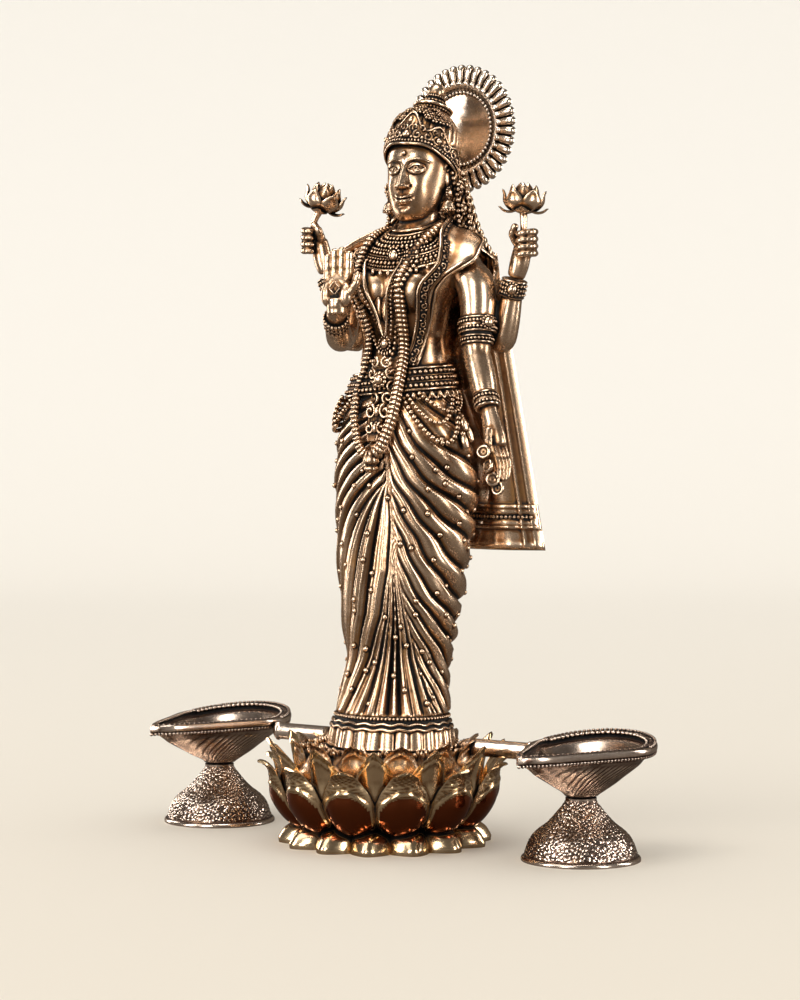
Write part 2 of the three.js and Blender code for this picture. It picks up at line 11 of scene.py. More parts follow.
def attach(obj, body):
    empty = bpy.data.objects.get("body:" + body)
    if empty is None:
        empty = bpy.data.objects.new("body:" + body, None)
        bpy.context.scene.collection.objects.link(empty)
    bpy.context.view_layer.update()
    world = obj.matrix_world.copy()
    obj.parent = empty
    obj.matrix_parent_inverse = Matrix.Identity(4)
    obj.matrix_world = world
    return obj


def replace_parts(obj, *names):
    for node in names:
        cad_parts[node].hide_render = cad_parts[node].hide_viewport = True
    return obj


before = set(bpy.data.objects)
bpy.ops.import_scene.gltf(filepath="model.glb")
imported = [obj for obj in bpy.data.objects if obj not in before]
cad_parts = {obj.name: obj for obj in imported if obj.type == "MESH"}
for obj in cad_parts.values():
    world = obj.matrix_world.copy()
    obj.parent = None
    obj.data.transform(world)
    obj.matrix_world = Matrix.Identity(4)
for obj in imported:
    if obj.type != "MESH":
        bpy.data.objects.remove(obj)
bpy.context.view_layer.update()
random.seed(11)

# Sizes in millimetres, as in the castings' own drawing. Z is up and the figure faces -Y.
LIFT = 42.8  # the figure's hem above the ground
PLATFORM_RADIUS = 34
PLATFORM_TOP = 42.5
LAMP_SPREAD = 100
LAMP_SET_BACK = 5.5
BOWL_RADIUS = 28.5
BOWL_TIP = 68
BOWL_SET_BACK = 10
BOWL_FLOOR = 27.5
BOWL_RIM = 49.5
BOWL_LIP_RISE = 2.6
NECK_RADIUS = 6.8
HALO_CENTRE = (8, 50, 323.8)
HALO_RADIUS = 29.5
HALO_LOBES = 38
HALO_BEADS = 52
FOOT_LOBES = 14
PETALS_IN_A_ROW = 12
STAMENS = 230
GOLDEN_ANGLE = 2.39996  # radians from one stamen to the next, as seeds lie in a flower
SHARP_EDGE = 75  # degrees, past which an edge is drawn sharp
CAMERA_PLACE = (0.727795, -1.027631, 0.197991)  # in metres
CAMERA_WAY = (-0.573227, 0.818653, -0.0348995)  # 35 degrees to the figure's left and 2 degrees down
CAMERA_LENS = 100.8
VIEW_X, VIEW_Y = -0.5738, 0.8190  # the way the camera looks, on the floor

pieces = []


# Shapes

def add(bm, part, matrix=None):
    """Adds a finished small mesh to a larger one."""
    mesh = bpy.data.meshes.new("part")
    part.to_mesh(mesh)
    part.free()
    if matrix:
        mesh.transform(matrix)
    bm.from_mesh(mesh)
    bpy.data.meshes.remove(mesh)


def lay_grid(bm, across, along, place, painted=None):
    """A grid of faces laid out by place(u, v), both from 0 to 1; edges and poles that meet are welded.

    Faces where painted(u, v) is true take the piece's second material.
    """
    sheet = bmesh.new()
    bmesh.ops.create_grid(sheet, x_segments=across, y_segments=along, size=0.5)
    spots = np.round(np.array([vert.co[:2] for vert in sheet.verts]) + 0.5, 6)
    if painted:
        for face in sheet.faces:
            u, v = spots[[vert.index for vert in face.verts]].mean(0)
            face.material_index = int(painted(u, v))
    for vert, spot in zip(sheet.verts, place(spots[:, 0], spots[:, 1]).tolist()):
        vert.co = spot
    bmesh.ops.remove_doubles(sheet, verts=sheet.verts, dist=0.0005)
    add(bm, sheet)


def stack(*columns):
    return np.stack(np.broadcast_arrays(*columns), axis=-1).astype(float)


def step(low, high, value):
    """A soft step from 0 to 1 between two values."""
    t = np.clip((value - low) / (high - low), 0, 1)
    return t * t * (3 - 2 * t)


def line_at(distance, width):
    """1 on a line, fading to nothing at about twice the width on both sides of it."""
    return np.exp(-(distance / width) ** 2)


def rows_at(table, share):
    """The columns of a table, read at a share of the way down its rows."""
    return [np.interp(share * (len(table) - 1), range(len(table)), column) for column in table.T]


def level_ring(radius, z, count):
    """Points on a level circle, the last on the first."""
    turn = np.linspace(0, 2 * np.pi, count)
    return stack(radius * np.sin(turn), -radius * np.cos(turn), z)


def upright_ring(centre, wide, tall, count):
    """Points on an upright oval that faces the front, the last on the first."""
    x, y, z = centre
    return [(x + wide * math.sin(a), y, z + tall * math.cos(a)) for a in np.linspace(0, 2 * math.pi, count)]


def route(points, count):
    """A smooth curve through points, as count + 1 points at equal distances."""
    knots = np.array(points, float)
    padded = np.vstack([2 * knots[0] - knots[1], knots, 2 * knots[-1] - knots[-2]])
    t = np.linspace(0, len(knots) - 1, 24 * len(knots))
    k = np.minimum(t.astype(int), len(knots) - 2)
    t = (t - k)[:, None]
    a, b, c, d = (padded[k + i] for i in range(4))
    fine = 0.5 * (2 * b + (c - a) * t + (2 * a - 5 * b + 4 * c - d) * t ** 2
                  + (3 * b - a - 3 * c + d) * t ** 3)
    far = np.concatenate([[0], np.cumsum(np.linalg.norm(np.diff(fine[:, :3], axis=0), axis=1))])
    stops = np.linspace(0, far[-1], count + 1)
    return stack(*(np.interp(stops, far, fine[:, i]) for i in range(fine.shape[1])))


def frames(path):
    """Along, side and up directions at each point of a path, carried along it without a twist."""
    along = np.gradient(path[:, :3], axis=0)
    along /= np.linalg.norm(along, axis=1)[:, None]
    side = np.empty_like(along)
    start = np.cross(along[0], (0, 0, 1) if abs(along[0][2]) < 0.9 else (0, 1, 0))
    for i, direction in enumerate(along):
        start = start - direction * start.dot(direction)
        start /= np.linalg.norm(start)
        side[i] = start
    return along, side, np.cross(along, side)


def tube(bm, points, count, sides, flat=1.0, round_ends=True, relief=None):
    """A solid limb along points of x, y, z and radius; flat squashes it, relief(u, v) adds to its radius."""
    path = route(points, count)
    along, side, up = frames(path)

    def place(u, v):
        i = np.rint(v * count).astype(int)
        radius = path[i, 3] + (relief(u, v) if relief else 0)
        if round_ends:
            radius = radius * np.sqrt(np.clip(1 - (2 * v - 1) ** 16, 0, 1))
        else:
            radius = np.where((v < 1e-6) | (v > 1 - 1e-6), 0, radius)
        turn = 2 * np.pi * u
        return (path[i, :3] + side[i] * (radius * np.cos(turn))[:, None]
                + up[i] * (radius * flat * np.sin(turn))[:, None])

    lay_grid(bm, sides, count, place)


def ball(bm, centre, halves, u=16, v=10, turn=Matrix()):
    """A ball of one half-width, or stretched to three and turned by a matrix."""
    halves = halves if isinstance(halves, tuple) else (halves,) * 3
    matrix = Matrix.Translation(centre) @ turn @ Matrix.Diagonal((*halves, 1))
    part = bmesh.new()
    bmesh.ops.create_uvsphere(part, u_segments=u, v_segments=v, radius=1, matrix=matrix)
    add(bm, part)


def set_along(bm, path, spacing, bead, size, grow=None):
    """Copies of one small mesh along a path, its z along the path and its x square to the surface side."""
    path = np.asarray(path, float)
    length = np.linalg.norm(np.diff(path[:, :3], axis=0), axis=1).sum()
    spots = route(path, max(2, round(length / spacing)))
    along, side, up = frames(spots)
    row = bmesh.new()
    for i, (spot, a, s, n) in enumerate(zip(spots, along, side, up)):
        turn = Matrix((s, n, a)).transposed().to_4x4()
        scale = size * (grow(i / (len(spots) - 1)) if grow else 1)
        copy = bead.copy()
        copy.transform(Matrix.Translation(spot[:3]) @ turn @ Matrix.Scale(scale, 4))
        row.from_mesh(copy)
        bpy.data.meshes.remove(copy)
    add(bm, row)


def small(stretch=1.0, u=8, v=5, shaped=None):
    """The mesh of one bead, a unit in half-width; shaped(co) moves each of its points."""
    part = bmesh.new()
    ball(part, (0, 0, 0), (1, 1, stretch), u, v)
    if shaped:
        for vert in part.verts:
            shaped(vert.co)
    mesh = bpy.data.meshes.new("bead")
    part.to_mesh(mesh)
    part.free()
    return mesh


def beads(bm, path, spacing, size, stretch=1.0, u=8, v=5):
    """A row of small beads along a path, each as long as stretch times its width."""
    set_along(bm, path, spacing, small(stretch, u, v), size)


def cord_line(bm, path, radius, sides=6, flat=1.0):
    """A thin raised line that follows a path of points."""
    path = np.asarray(path, float)
    length = np.linalg.norm(np.diff(path[:, :3], axis=0), axis=1).sum()
    points = np.column_stack([path[:, :3], np.full(len(path), radius)])
    tube(bm, points, max(4, round(length / max(0.6, radius))), sides, flat)


def lathe(bm, profile, segments, relief=None):
    """A turned body from radius and height pairs, with relief(angle, v) added to its radius."""
    curve = np.array(profile, float)

    def place(u, v):
        radius, height = rows_at(curve, v)
        if relief:
            radius = radius + relief(2 * np.pi * u, v) * (radius > 0.01)
        return stack(radius * np.sin(2 * np.pi * u), -radius * np.cos(2 * np.pi * u), height)

    lay_grid(bm, segments, len(curve) - 1, place)


def smooth_profile(points, count):
    return route([(r, z, 0) for r, z in points], count)[:, :2]


def turned(degrees, axis):
    return Matrix.Rotation(math.radians(degrees), 4, axis)


def set_by(bm, matrix):
    bmesh.ops.transform(bm, matrix=matrix, verts=bm.verts)


def copies_round(bm, count, offset=0.0):
    """Copies a whole mesh round the vertical axis."""
    first = bm.verts[:] + bm.edges[:] + bm.faces[:]
    bmesh.ops.rotate(bm, cent=(0, 0, 0), matrix=Matrix.Rotation(offset, 3, "Z"), verts=bm.verts)
    for i in range(1, count):
        copy = bmesh.ops.duplicate(bm, geom=first)["geom"]
        verts = [item for item in copy if isinstance(item, bmesh.types.BMVert)]
        turn = Matrix.Rotation(i * 2 * math.pi / count, 3, "Z")
        bmesh.ops.rotate(bm, cent=(0, 0, 0), matrix=turn, verts=verts)


def cast(name, bm, material, lift=0.0):
    """Turns a finished mesh into a piece of the object, in metres, riding on the one body."""
    bmesh.ops.recalc_face_normals(bm, faces=bm.faces)
    mesh = bpy.data.meshes.new(name)
    bm.to_mesh(mesh)
    bm.free()
    mesh.transform(Matrix.Scale(0.001, 4) @ Matrix.Translation((0, 0, lift)))
    mesh.shade_smooth()
    mesh.set_sharp_from_angle(angle=math.radians(SHARP_EDGE))
    mesh.materials.append(material)
    piece = bpy.data.objects.new(name, mesh)
    bpy.context.collection.objects.link(piece)
    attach(piece, "root")
    pieces.append(piece)
    return piece


def cast_figure(name, bm):
    """A piece of the figure, which is drawn from its hem up and stands on the lotus."""
    return cast(name, bm, antique, LIFT)


def fused(bm, voxel, soften):
    """Joins overlapping closed forms into one skin, with their joints softened."""
    mesh = bpy.data.meshes.new("forms")
    bmesh.ops.recalc_face_normals(bm, faces=bm.faces)
    bm.to_mesh(mesh)
    bm.free()
    form = bpy.data.objects.new("forms", mesh)
    bpy.context.collection.objects.link(form)
    remesh = form.modifiers.new("join", "REMESH")
    remesh.mode = "VOXEL"
    remesh.voxel_size = voxel
    smooth = form.modifiers.new("soften", "SMOOTH")
    smooth.factor = 0.5
    smooth.iterations = soften
    made = form.evaluated_get(bpy.context.evaluated_depsgraph_get()).to_mesh()
    result = bmesh.new()
    result.from_mesh(made)
    bpy.data.objects.remove(form)
    return result


# Materials

def add_node(nodes, kind, values=None, **settings):
    """A new shader node with its settings and the values of its free inputs."""
    made = nodes.new("ShaderNode" + kind)
    for key, value in settings.items():
        setattr(made, key, value)
    for key, value in (values or {}).items():
        made.inputs[key].default_value = value
    return made


def patina_and_painted_shade_group():
    """Aged metal with painted shade: hollows go dark and dull, partly from patina and partly from painted
    shade, high spots are rubbed bright, with cloudy variation between.
    """
    group = bpy.data.node_groups.new("aged_metal_with_painted_shade", "ShaderNodeTree")
    for name in ("Bright", "Body", "Warm", "Dark"):
        group.interface.new_socket(name, in_out="INPUT", socket_type="NodeSocketColor")
    for name in ("Age", "Gloss"):
        group.interface.new_socket(name, in_out="INPUT", socket_type="NodeSocketFloat")
    group.interface.new_socket("Color", in_out="OUTPUT", socket_type="NodeSocketColor")
    for name in ("Roughness", "Metallic", "Grain"):
        group.interface.new_socket(name, in_out="OUTPUT", socket_type="NodeSocketFloat")
    nodes, links = group.nodes, group.links
    given = nodes.new("NodeGroupInput")
    out = nodes.new("NodeGroupOutput")
    hollow_patina_and_shade = add_node(nodes, "Attribute", attribute_name="hollow_patina_and_shade")
    edge = add_node(nodes, "Attribute", attribute_name="edge")
    place = add_node(nodes, "TexCoord")

    def cloud(scale, detail, rough=0.55):
        made = add_node(nodes, "TexNoise", {"Scale": scale, "Detail": detail, "Roughness": rough})
        links.new(place.outputs["Object"], made.inputs["Vector"])
        return made.outputs["Fac"]

    def maths(operation, *values):
        made = add_node(nodes, "Math", operation=operation)
        for i, value in enumerate(values):
            if isinstance(value, (int, float)):
                made.inputs[i].default_value = value
            else:
                links.new(value, made.inputs[i])
        return made.outputs[0]

    def blend(factor, first, second):
        made = add_node(nodes, "Mix", data_type="RGBA")
        links.new(factor, made.inputs["Factor"])
        links.new(first, made.inputs[6])
        links.new(second, made.inputs[7])
        return made.outputs[2]

    def soft_step(low, high, value):
        limits = {"From Min": low, "From Max": high}
        made = add_node(nodes, "MapRange", limits, interpolation_type="SMOOTHSTEP")
        links.new(value, made.inputs["Value"])
        return made.outputs[0]

    broad = cloud(38, 4)
    fine = cloud(420, 5, 0.65)
    uneven = maths("ADD", maths("MULTIPLY", maths("SUBTRACT", broad, 0.5), 0.5),
                   maths("MULTIPLY", maths("SUBTRACT", fine, 0.5), 0.25))
    # Painted shade together with patina: how enclosed a spot is darkens its colour here.
    dark = maths("ADD", hollow_patina_and_shade.outputs["Fac"], uneven)
    dark = maths("ADD", dark, maths("SUBTRACT", maths("MULTIPLY", given.outputs["Age"], 0.8), 0.4))
    dark = maths("SUBTRACT", dark, maths("MULTIPLY", edge.outputs["Fac"], 0.35))
    to_body = soft_step(0.12, 0.5, dark)
    to_dark = soft_step(0.42, 0.85, dark)
    blotch = soft_step(0.48, 0.66, cloud(62, 3))
    tarnish = blend(maths("MULTIPLY", blotch, 0.6), given.outputs["Body"], given.outputs["Warm"])
    metal = blend(to_body, given.outputs["Bright"], tarnish)
    links.new(blend(to_dark, metal, given.outputs["Dark"]), out.inputs["Color"])
    rough = maths("ADD", given.outputs["Gloss"], maths("MULTIPLY", to_dark, 0.34))
    rough = maths("ADD", rough, maths("MULTIPLY", maths("SUBTRACT", fine, 0.5), 0.16))
    rough = maths("ADD", rough, maths("MULTIPLY", to_body, 0.05))
    links.new(maths("MAXIMUM", rough, 0.08), out.inputs["Roughness"])
    links.new(maths("SUBTRACT", 1.0, maths("MULTIPLY", to_dark, 0.55)), out.inputs["Metallic"])
    links.new(maths("ADD", maths("MULTIPLY", fine, 0.6), maths("MULTIPLY", broad, 0.4)), out.inputs["Grain"])
    return group


AGED_AND_SHADED = patina_and_painted_shade_group()


def aged_brass(name, bright, body, warm, dark, age, gloss, bump):
    """One finish: its colours from rubbed bright to dark in the hollows, where patina and painted shade go,
    how aged and how glossy it is, and its grain's height.
    """
    material = bpy.data.materials.new(name)
    material.use_nodes = True
    nodes, links = material.node_tree.nodes, material.node_tree.links
    shader = nodes["Principled BSDF"]
    aged = add_node(nodes, "Group", node_tree=AGED_AND_SHADED)
    for key, color in (("Bright", bright), ("Body", body), ("Warm", warm), ("Dark", dark)):
        aged.inputs[key].default_value = (*color, 1)
    aged.inputs["Age"].default_value = age
    aged.inputs["Gloss"].default_value = gloss
    for key, into in (("Color", "Base Color"), ("Roughness", "Roughness"), ("Metallic", "Metallic")):
        links.new(aged.outputs[key], shader.inputs[into])
    relief = add_node(nodes, "Bump", {"Strength": bump, "Distance": 0.0002})
    links.new(aged.outputs["Grain"], relief.inputs["Height"])
    links.new(relief.outputs["Normal"], shader.inputs["Normal"])
    return material


polished = aged_brass("polished_brass", bright=(0.88, 0.76, 0.64), body=(0.44, 0.30, 0.20),
                      warm=(0.56, 0.36, 0.16), dark=(0.010, 0.007, 0.006), age=0.55, gloss=0.24, bump=0.02)
antique = aged_brass("antique_brass", bright=(0.98, 0.74, 0.53), body=(0.33, 0.165, 0.075),
                     warm=(0.48, 0.25, 0.085), dark=(0.006, 0.004, 0.003), age=0.88, gloss=0.25, bump=0.10)
golden = aged_brass("golden_brass", bright=(0.94, 0.71, 0.44), body=(0.30, 0.16, 0.07),
                    warm=(0.52, 0.30, 0.10), dark=(0.009, 0.005, 0.004), age=0.76, gloss=0.19, bump=0.05)
# Painted reflection: the dark red-brown that the polished petal dishes reflect, painted into their colour.
painted_reflection_red_brown = aged_brass("red_brown_painted_reflection", bright=(0.28, 0.075, 0.026), body=(0.14, 0.028, 0.013),
                     warm=(0.2, 0.055, 0.015), dark=(0.01, 0.005, 0.004), age=0.5, gloss=0.11, bump=0.04)
lamp_metal = aged_brass("lamp_brass", bright=(0.95, 0.80, 0.68), body=(0.155, 0.088, 0.062),
                        warm=(0.34, 0.19, 0.10), dark=(0.007, 0.005, 0.005), age=0.88, gloss=0.2, bump=0.12)


# Lotus base

def from_dish(across, v, middle, half_height):
    """How far out of a petal's dish a point is: 0 in its middle, 1 on its edge."""
    return np.abs(across / 0.86) ** 2.6 + np.abs((v - middle) / half_height) ** 2.6


def petal_shape(path, width, bulge, widest, base_share, thickness, dish=None, curl=0.0):
    """place(u, v) for one closed petal: u runs round its front and back, v from root to tip."""
    line = route([(r, z, 0) for r, z in path], 60)
    tangent = np.gradient(line[:, :2], axis=0)
    tangent /= np.linalg.norm(tangent, axis=1)[:, None]

    def place(u, v):
        front = u < 0.5
        a = np.where(front, 4 * u - 1, 3 - 4 * u)
        swell = base_share + (1 - base_share) * np.sin(np.clip(v / widest, 0, 1) * np.pi / 2)
        taper = np.cos(np.clip((v - widest) / (1 - widest), 0, 1) * np.pi / 2) ** 0.8
        share = np.where(v < widest, swell, taper)
        half = width / 2 * share
        r, z, _ = rows_at(line, v)
        tr, tz = rows_at(tangent, v)
        depth = bulge * share * np.abs(a) ** 2.2
        if dish:
            middle, half_height, rise, lip = dish
            q = from_dish(a, v, middle, half_height)
            rim = line_at(q - 1.16, 0.22) * step(0.03, 0.2, v)
            rough = step(1.3, 1.7, q) * step(middle, middle + half_height, v)
            texture = np.sin(a * 9 + 3 * np.sin(v * 37)) * np.sin(v * 90 + 4 * a) * 0.22
            relief = rise * np.sqrt(np.clip(1 - q, 0, 1)) + lip * rim + texture * rough
            depth = depth - np.where(front, relief * np.clip(1 - a ** 8, 0, 1), 0)
        wall = thickness * (1 - np.abs(a) ** 4) * np.sqrt(np.clip(1 - v ** 14, 0, 1))
        depth = depth + np.where(front, 0, wall)
        depth = depth - curl * step(0.75, 1, v) * a ** 2
        ends = (v < 1e-6) | (v > 1 - 1e-6)
        half, depth = np.where(ends, 0, half), np.where(ends, thickness / 2 * (v < 0.5), depth)
        return stack(a * half, -(r + tz * -depth), z + tr * depth)

    return place


def lotus_base():
    r = PLATFORM_RADIUS
    top = PLATFORM_TOP
    foot = bmesh.new()

    def lobe(u, v):
        turn = (u - 0.5) * np.pi
        lift = np.clip((v - 0.2) / 0.8, 0, 1) * np.pi / 2
        out = np.clip(v / 0.2, 0, 1)
        point = 1 + 0.12 * line_at(turn, 0.5)
        reach = 14.2 * np.cos(turn) * point * np.cos(lift) ** 0.6
        rim = 0.5 * line_at(v - 0.3, 0.06) * np.cos(turn)
        shut = out * (v < 1)
        across = 10.4 * np.sin(turn) * np.cos(lift) ** 0.6 * shut * ((u > 0) & (u < 1))
        return stack(across, -(32 + (reach + rim) * shut), 9.8 * np.sin(lift) ** 0.9)

    lay_grid(foot, 28, 20, lobe)
    copies_round(foot, FOOT_LOBES)
    piece = cast("lotus_foot_petals", foot, golden)
    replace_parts(piece, "lotus_base")

    core = bmesh.new()
    profile = [(0, 0.2), (34, 0.3), (36.5, 4), (31, 8.5), (32, 12), (38, 20), (40, 32), (37, 40),
               (33.5, 42.3), (20, PLATFORM_TOP), (0, PLATFORM_TOP)]
    lathe(core, smooth_profile(profile, 60), 96)
    cast("lotus_core", core, antique)

    # The dish of each outer petal takes the second material, a painted red-brown reflection.
    outer = bmesh.new()
    lay_grid(outer, 72, 64, petal_shape(
        [(r - 2, 6), (r + 9, 11), (r + 16, 20), (r + 18.3, 28), (r + 19.6, top - 8.5), (r + 24, top - 4.6)],
        24.5, 4.6, 0.5, 0.62, 2.4, dish=(0.37, 0.33, 1.7, 0.9), curl=1.2),
        painted=lambda u, v: u < 0.5 and from_dish(4 * u - 1, v, 0.37, 0.33) < 0.95)
    copies_round(outer, PETALS_IN_A_ROW, math.pi / PETALS_IN_A_ROW)
    petals = cast("lotus_outer_petals", outer, golden)
    petals.data.materials.append(painted_reflection_red_brown)

    second = bmesh.new()
    lay_grid(second, 48, 44, petal_shape(
        [(r - 4, 10), (r + 11, 22), (r + 14, 34), (r + 20, top + 4.4)],
        19.5, 3.2, 0.5, 0.55, 1.8, dish=(0.5, 0.36, 1.2, 0.8), curl=1.0))
    copies_round(second, PETALS_IN_A_ROW)
    cast("lotus_middle_petals", second, golden)

    third = bmesh.new()
    lay_grid(third, 40, 32, petal_shape(
        [(r, 22), (r + 5, 34), (r + 6, top), (r + 9, top + 5.4)],
        17.5, 2.6, 0.5, 0.6, 1.6, dish=(0.45, 0.36, 0.8, 0.7), curl=0.8))
    copies_round(third, PETALS_IN_A_ROW, math.pi / PETALS_IN_A_ROW)
    cast("lotus_inner_petals", third, antique)

    stamens = bmesh.new()
    for i in range(STAMENS):
        turn = i * GOLDEN_ANGLE
        out = 30 + 8.5 * math.sqrt(random.random())
        tall = 44 + 2.4 * random.random() - 0.22 * max(0, out - 33)
        lean = Vector((math.sin(turn), -math.cos(turn), 0))
        foot_at = lean * (out - 1.5) + Vector((0, 0, 40.5))
        tip = lean * out + Vector((0, 0, tall))
        line = [(*foot_at, 0.5), (*((foot_at + tip) / 2), 0.55), (*tip, 0.95)]
        tube(stamens, line, 4, 5)
    cast("lotus_stamens", stamens, antique)

    lugs = bmesh.new()
    for side in (1, -1):
        path = [(side * x, 12, 44.1, 2.3) for x in (34, 45, 58, 72.6)]
        tube(lugs, path, 60, 24, flat=1.7, relief=lambda u, v: 0.5 * line_at(v - 0.93, 0.025))
    cast("lamp_lugs", lugs, lamp_metal)


# Oil lamps

def bowl_outline(turn, grow):
    """The leaf outline of a bowl, as x and y at an angle from its tip."""
    reach = math.acos(BOWL_RADIUS / BOWL_TIP)
    off = np.abs(np.arctan2(np.sin(turn), np.cos(turn)))
    radius = np.where(off < reach, BOWL_RADIUS / np.cos(reach - off), BOWL_RADIUS) + grow
    blunt = np.clip(1 - 0.10 * line_at(off, 0.10), 0, 1)
    return radius * blunt * np.sin(turn), BOWL_SET_BACK - radius * blunt * np.cos(turn)


def bowl_point(turn, spread, inset, height, lift):
    """A point of the bowl, between its round neck and its leaf-shaped rim."""
    x, y = bowl_outline(turn, -inset - 0.5)
    neck = NECK_RADIUS - inset
    return stack(neck * np.sin(turn) * (1 - spread) + x * spread,
                 -neck * np.cos(turn) * (1 - spread) + y * spread,
                 height + lift * BOWL_LIP_RISE * np.maximum(0, -np.cos(turn)) ** 1.5)


def lamp_bowl(side):
    name = "left" if side > 0 else "right"
    bm = bmesh.new()
    rows = [  # spread, inset, height and lift, from the neck up the outside and down the inside
        (0.0, 0.0, BOWL_FLOOR, 0), (0.12, 0, 30.2, 0.05), (0.28, 0, 32.9, 0.1), (0.45, 0, 36.2, 0.25),
        (0.62, 0, 39.4, 0.4), (0.76, 0, 42.3, 0.65), (0.86, 0, 44.6, 0.9), (0.93, 0.2, 45.4, 1),
        (0.96, 0.9, 45.7, 1), (0.985, 0.8, 45.9, 1), (1, 0.3, 46.4, 1), (1, 0.0, 47.0, 1),
        (1, 0.0, 48.4, 1), (1, 0.4, 49.2, 1),
        (1, 1.1, 49.5, 1), (1, 2.0, 49.2, 1), (1, 2.3, 48.6, 1), (0.98, 2.6, 47.9, 1), (0.93, 2.6, 46.8, 1),
        (0.86, 2.6, 45.8, 0.9), (0.74, 2.4, 43.3, 0.65), (0.62, 2, 41.2, 0.4), (0.45, 2, 38, 0.25),
        (0.28, 2, 35.0, 0.1), (0.14, 2, 34.2, 0.05), (0, 6.75, 34.1, 0)]
    table = route([(spread, height, inset, lift) for spread, inset, height, lift in rows], 110)

    def place(u, v):
        turn = 2 * np.pi * u
        spread, height, inset, lift = rows_at(table, v)
        inset = np.where((v == 0) | (v == 1), NECK_RADIUS, inset)
        under = step(0.02, 0.06, v) * (1 - step(0.30, 0.345, v))
        off = np.arctan2(np.sin(turn), np.cos(turn))
        swirl = off + np.sign(off) * 0.55 * (1 - v / 0.34)
        ribs = np.abs(np.sin(swirl * 25)) ** 0.7 * under * 0.55 * step(0.10, 0.2, np.abs(off))
        keel = line_at(off, 0.07) * under * 0.8
        return bowl_point(turn, spread, inset - ribs - keel, height, lift)

    lay_grid(bm, 300, 84, place)

    around = np.linspace(0, 2 * np.pi, 140)
    beads(bm, bowl_point(around, 1.0, 1.0, 45.55, 1.0), 1.75, 0.82)
    beads(bm, bowl_point(around, 1.0, 3.0, 49.35, 1.0), 2.5, 0.78, 1.5)
    for inset, rise, size, stretch in ((1.1, 0.9, 0.82, 1.2), (4.6, 0.1, 0.7, 1.4)):
        turn = np.linspace(2 * np.pi * 0.27, 2 * np.pi * 0.73, 60)
        height = BOWL_RIM + rise * np.sin(np.linspace(0, np.pi, 60))
        beads(bm, bowl_point(turn, 1.0, inset, height - 0.2, 1.0), 1.7 * stretch, size, stretch)
    for k in range(44):
        t = 2 * np.pi * (0.29 + 0.42 * k / 43)
        spot = bowl_point(np.array([t]), 1.0, 2.7, np.array([BOWL_RIM - 0.1]), 1.0)[0]
        ball(bm, spot, (0.55, 1.3, 0.6), 7, 5, Matrix.Rotation(t + (0.6 if k % 2 else -0.6), 4, "Z"))
    set_by(bm, Matrix.Translation((side * LAMP_SPREAD, LAMP_SET_BACK, 0)))
    piece = cast("lamp_bowl_" + name + "_ribbed", bm, lamp_metal)
    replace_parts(piece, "lamp_bowl_" + name)


def lamp_foot(side):
    name = "left" if side > 0 else "right"
    bm = bmesh.new()
    shape = smooth_profile([(26, 0), (26, 1.1), (25.4, 1.9), (24.6, 2.2), (23.9, 4.2), (22.2, 8.7),
                            (19.5, 12.2), (14.7, 16), (11.3, 19.6), (8.2, 23.4), (6.9, 25.4),
                            (NECK_RADIUS, 27.2)], 94)
    shape = np.vstack([(0, 0), shape, (0, 27.2)])

    def heart(turn, height):
        """How far a point is from a heart line, four times round the foot, and from the heart's middle."""
        sector = (turn + np.pi / 4) % (np.pi / 2) - np.pi / 4
        x = sector * np.interp(height, (0, 8, 16, 27), (26, 22, 14, 7))
        t = np.clip((20 - height) / 12.5, 0, 1)
        width = 7.2 * np.sin(np.pi * t ** 0.75) ** 0.8
        return np.abs(np.abs(x) - width) + 40 * ((height > 20.5) | (height < 7)), x

    def relief(turn, v):
        radius, height = rows_at(shape, v)
        ground = np.empty(len(turn))
        for k, (t, h, r) in enumerate(zip(turn, height, radius)):
            near = noise.voronoi((r * math.sin(t) * 0.52, r * math.cos(t) * 0.52, h * 0.52))[0]
            ground[k] = near[1] - near[0]
        worn = step(2.4, 3.4, height) * (1 - step(25.2, 26.2, height))
        lines, across = heart(turn, height)
        leaf = line_at(lines, 0.42) + 0.8 * line_at(lines - 1.7, 0.35)
        veins = line_at(across, 0.35) * ((height < 19) & (height > 9.5))
        mask = np.clip(leaf + veins, 0, 1)
        return worn * (np.where(mask > 0.35, 0.45 * mask, 0.5 * step(0.03, 0.3, ground)) - 0.15)

    lathe(bm, shape, 260, relief)
    set_by(bm, Matrix.Translation((side * LAMP_SPREAD, LAMP_SET_BACK, 0)))
    piece = cast("lamp_foot_" + name + "_worked", bm, lamp_metal)
    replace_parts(piece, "lamp_foot_" + name)


# Halo

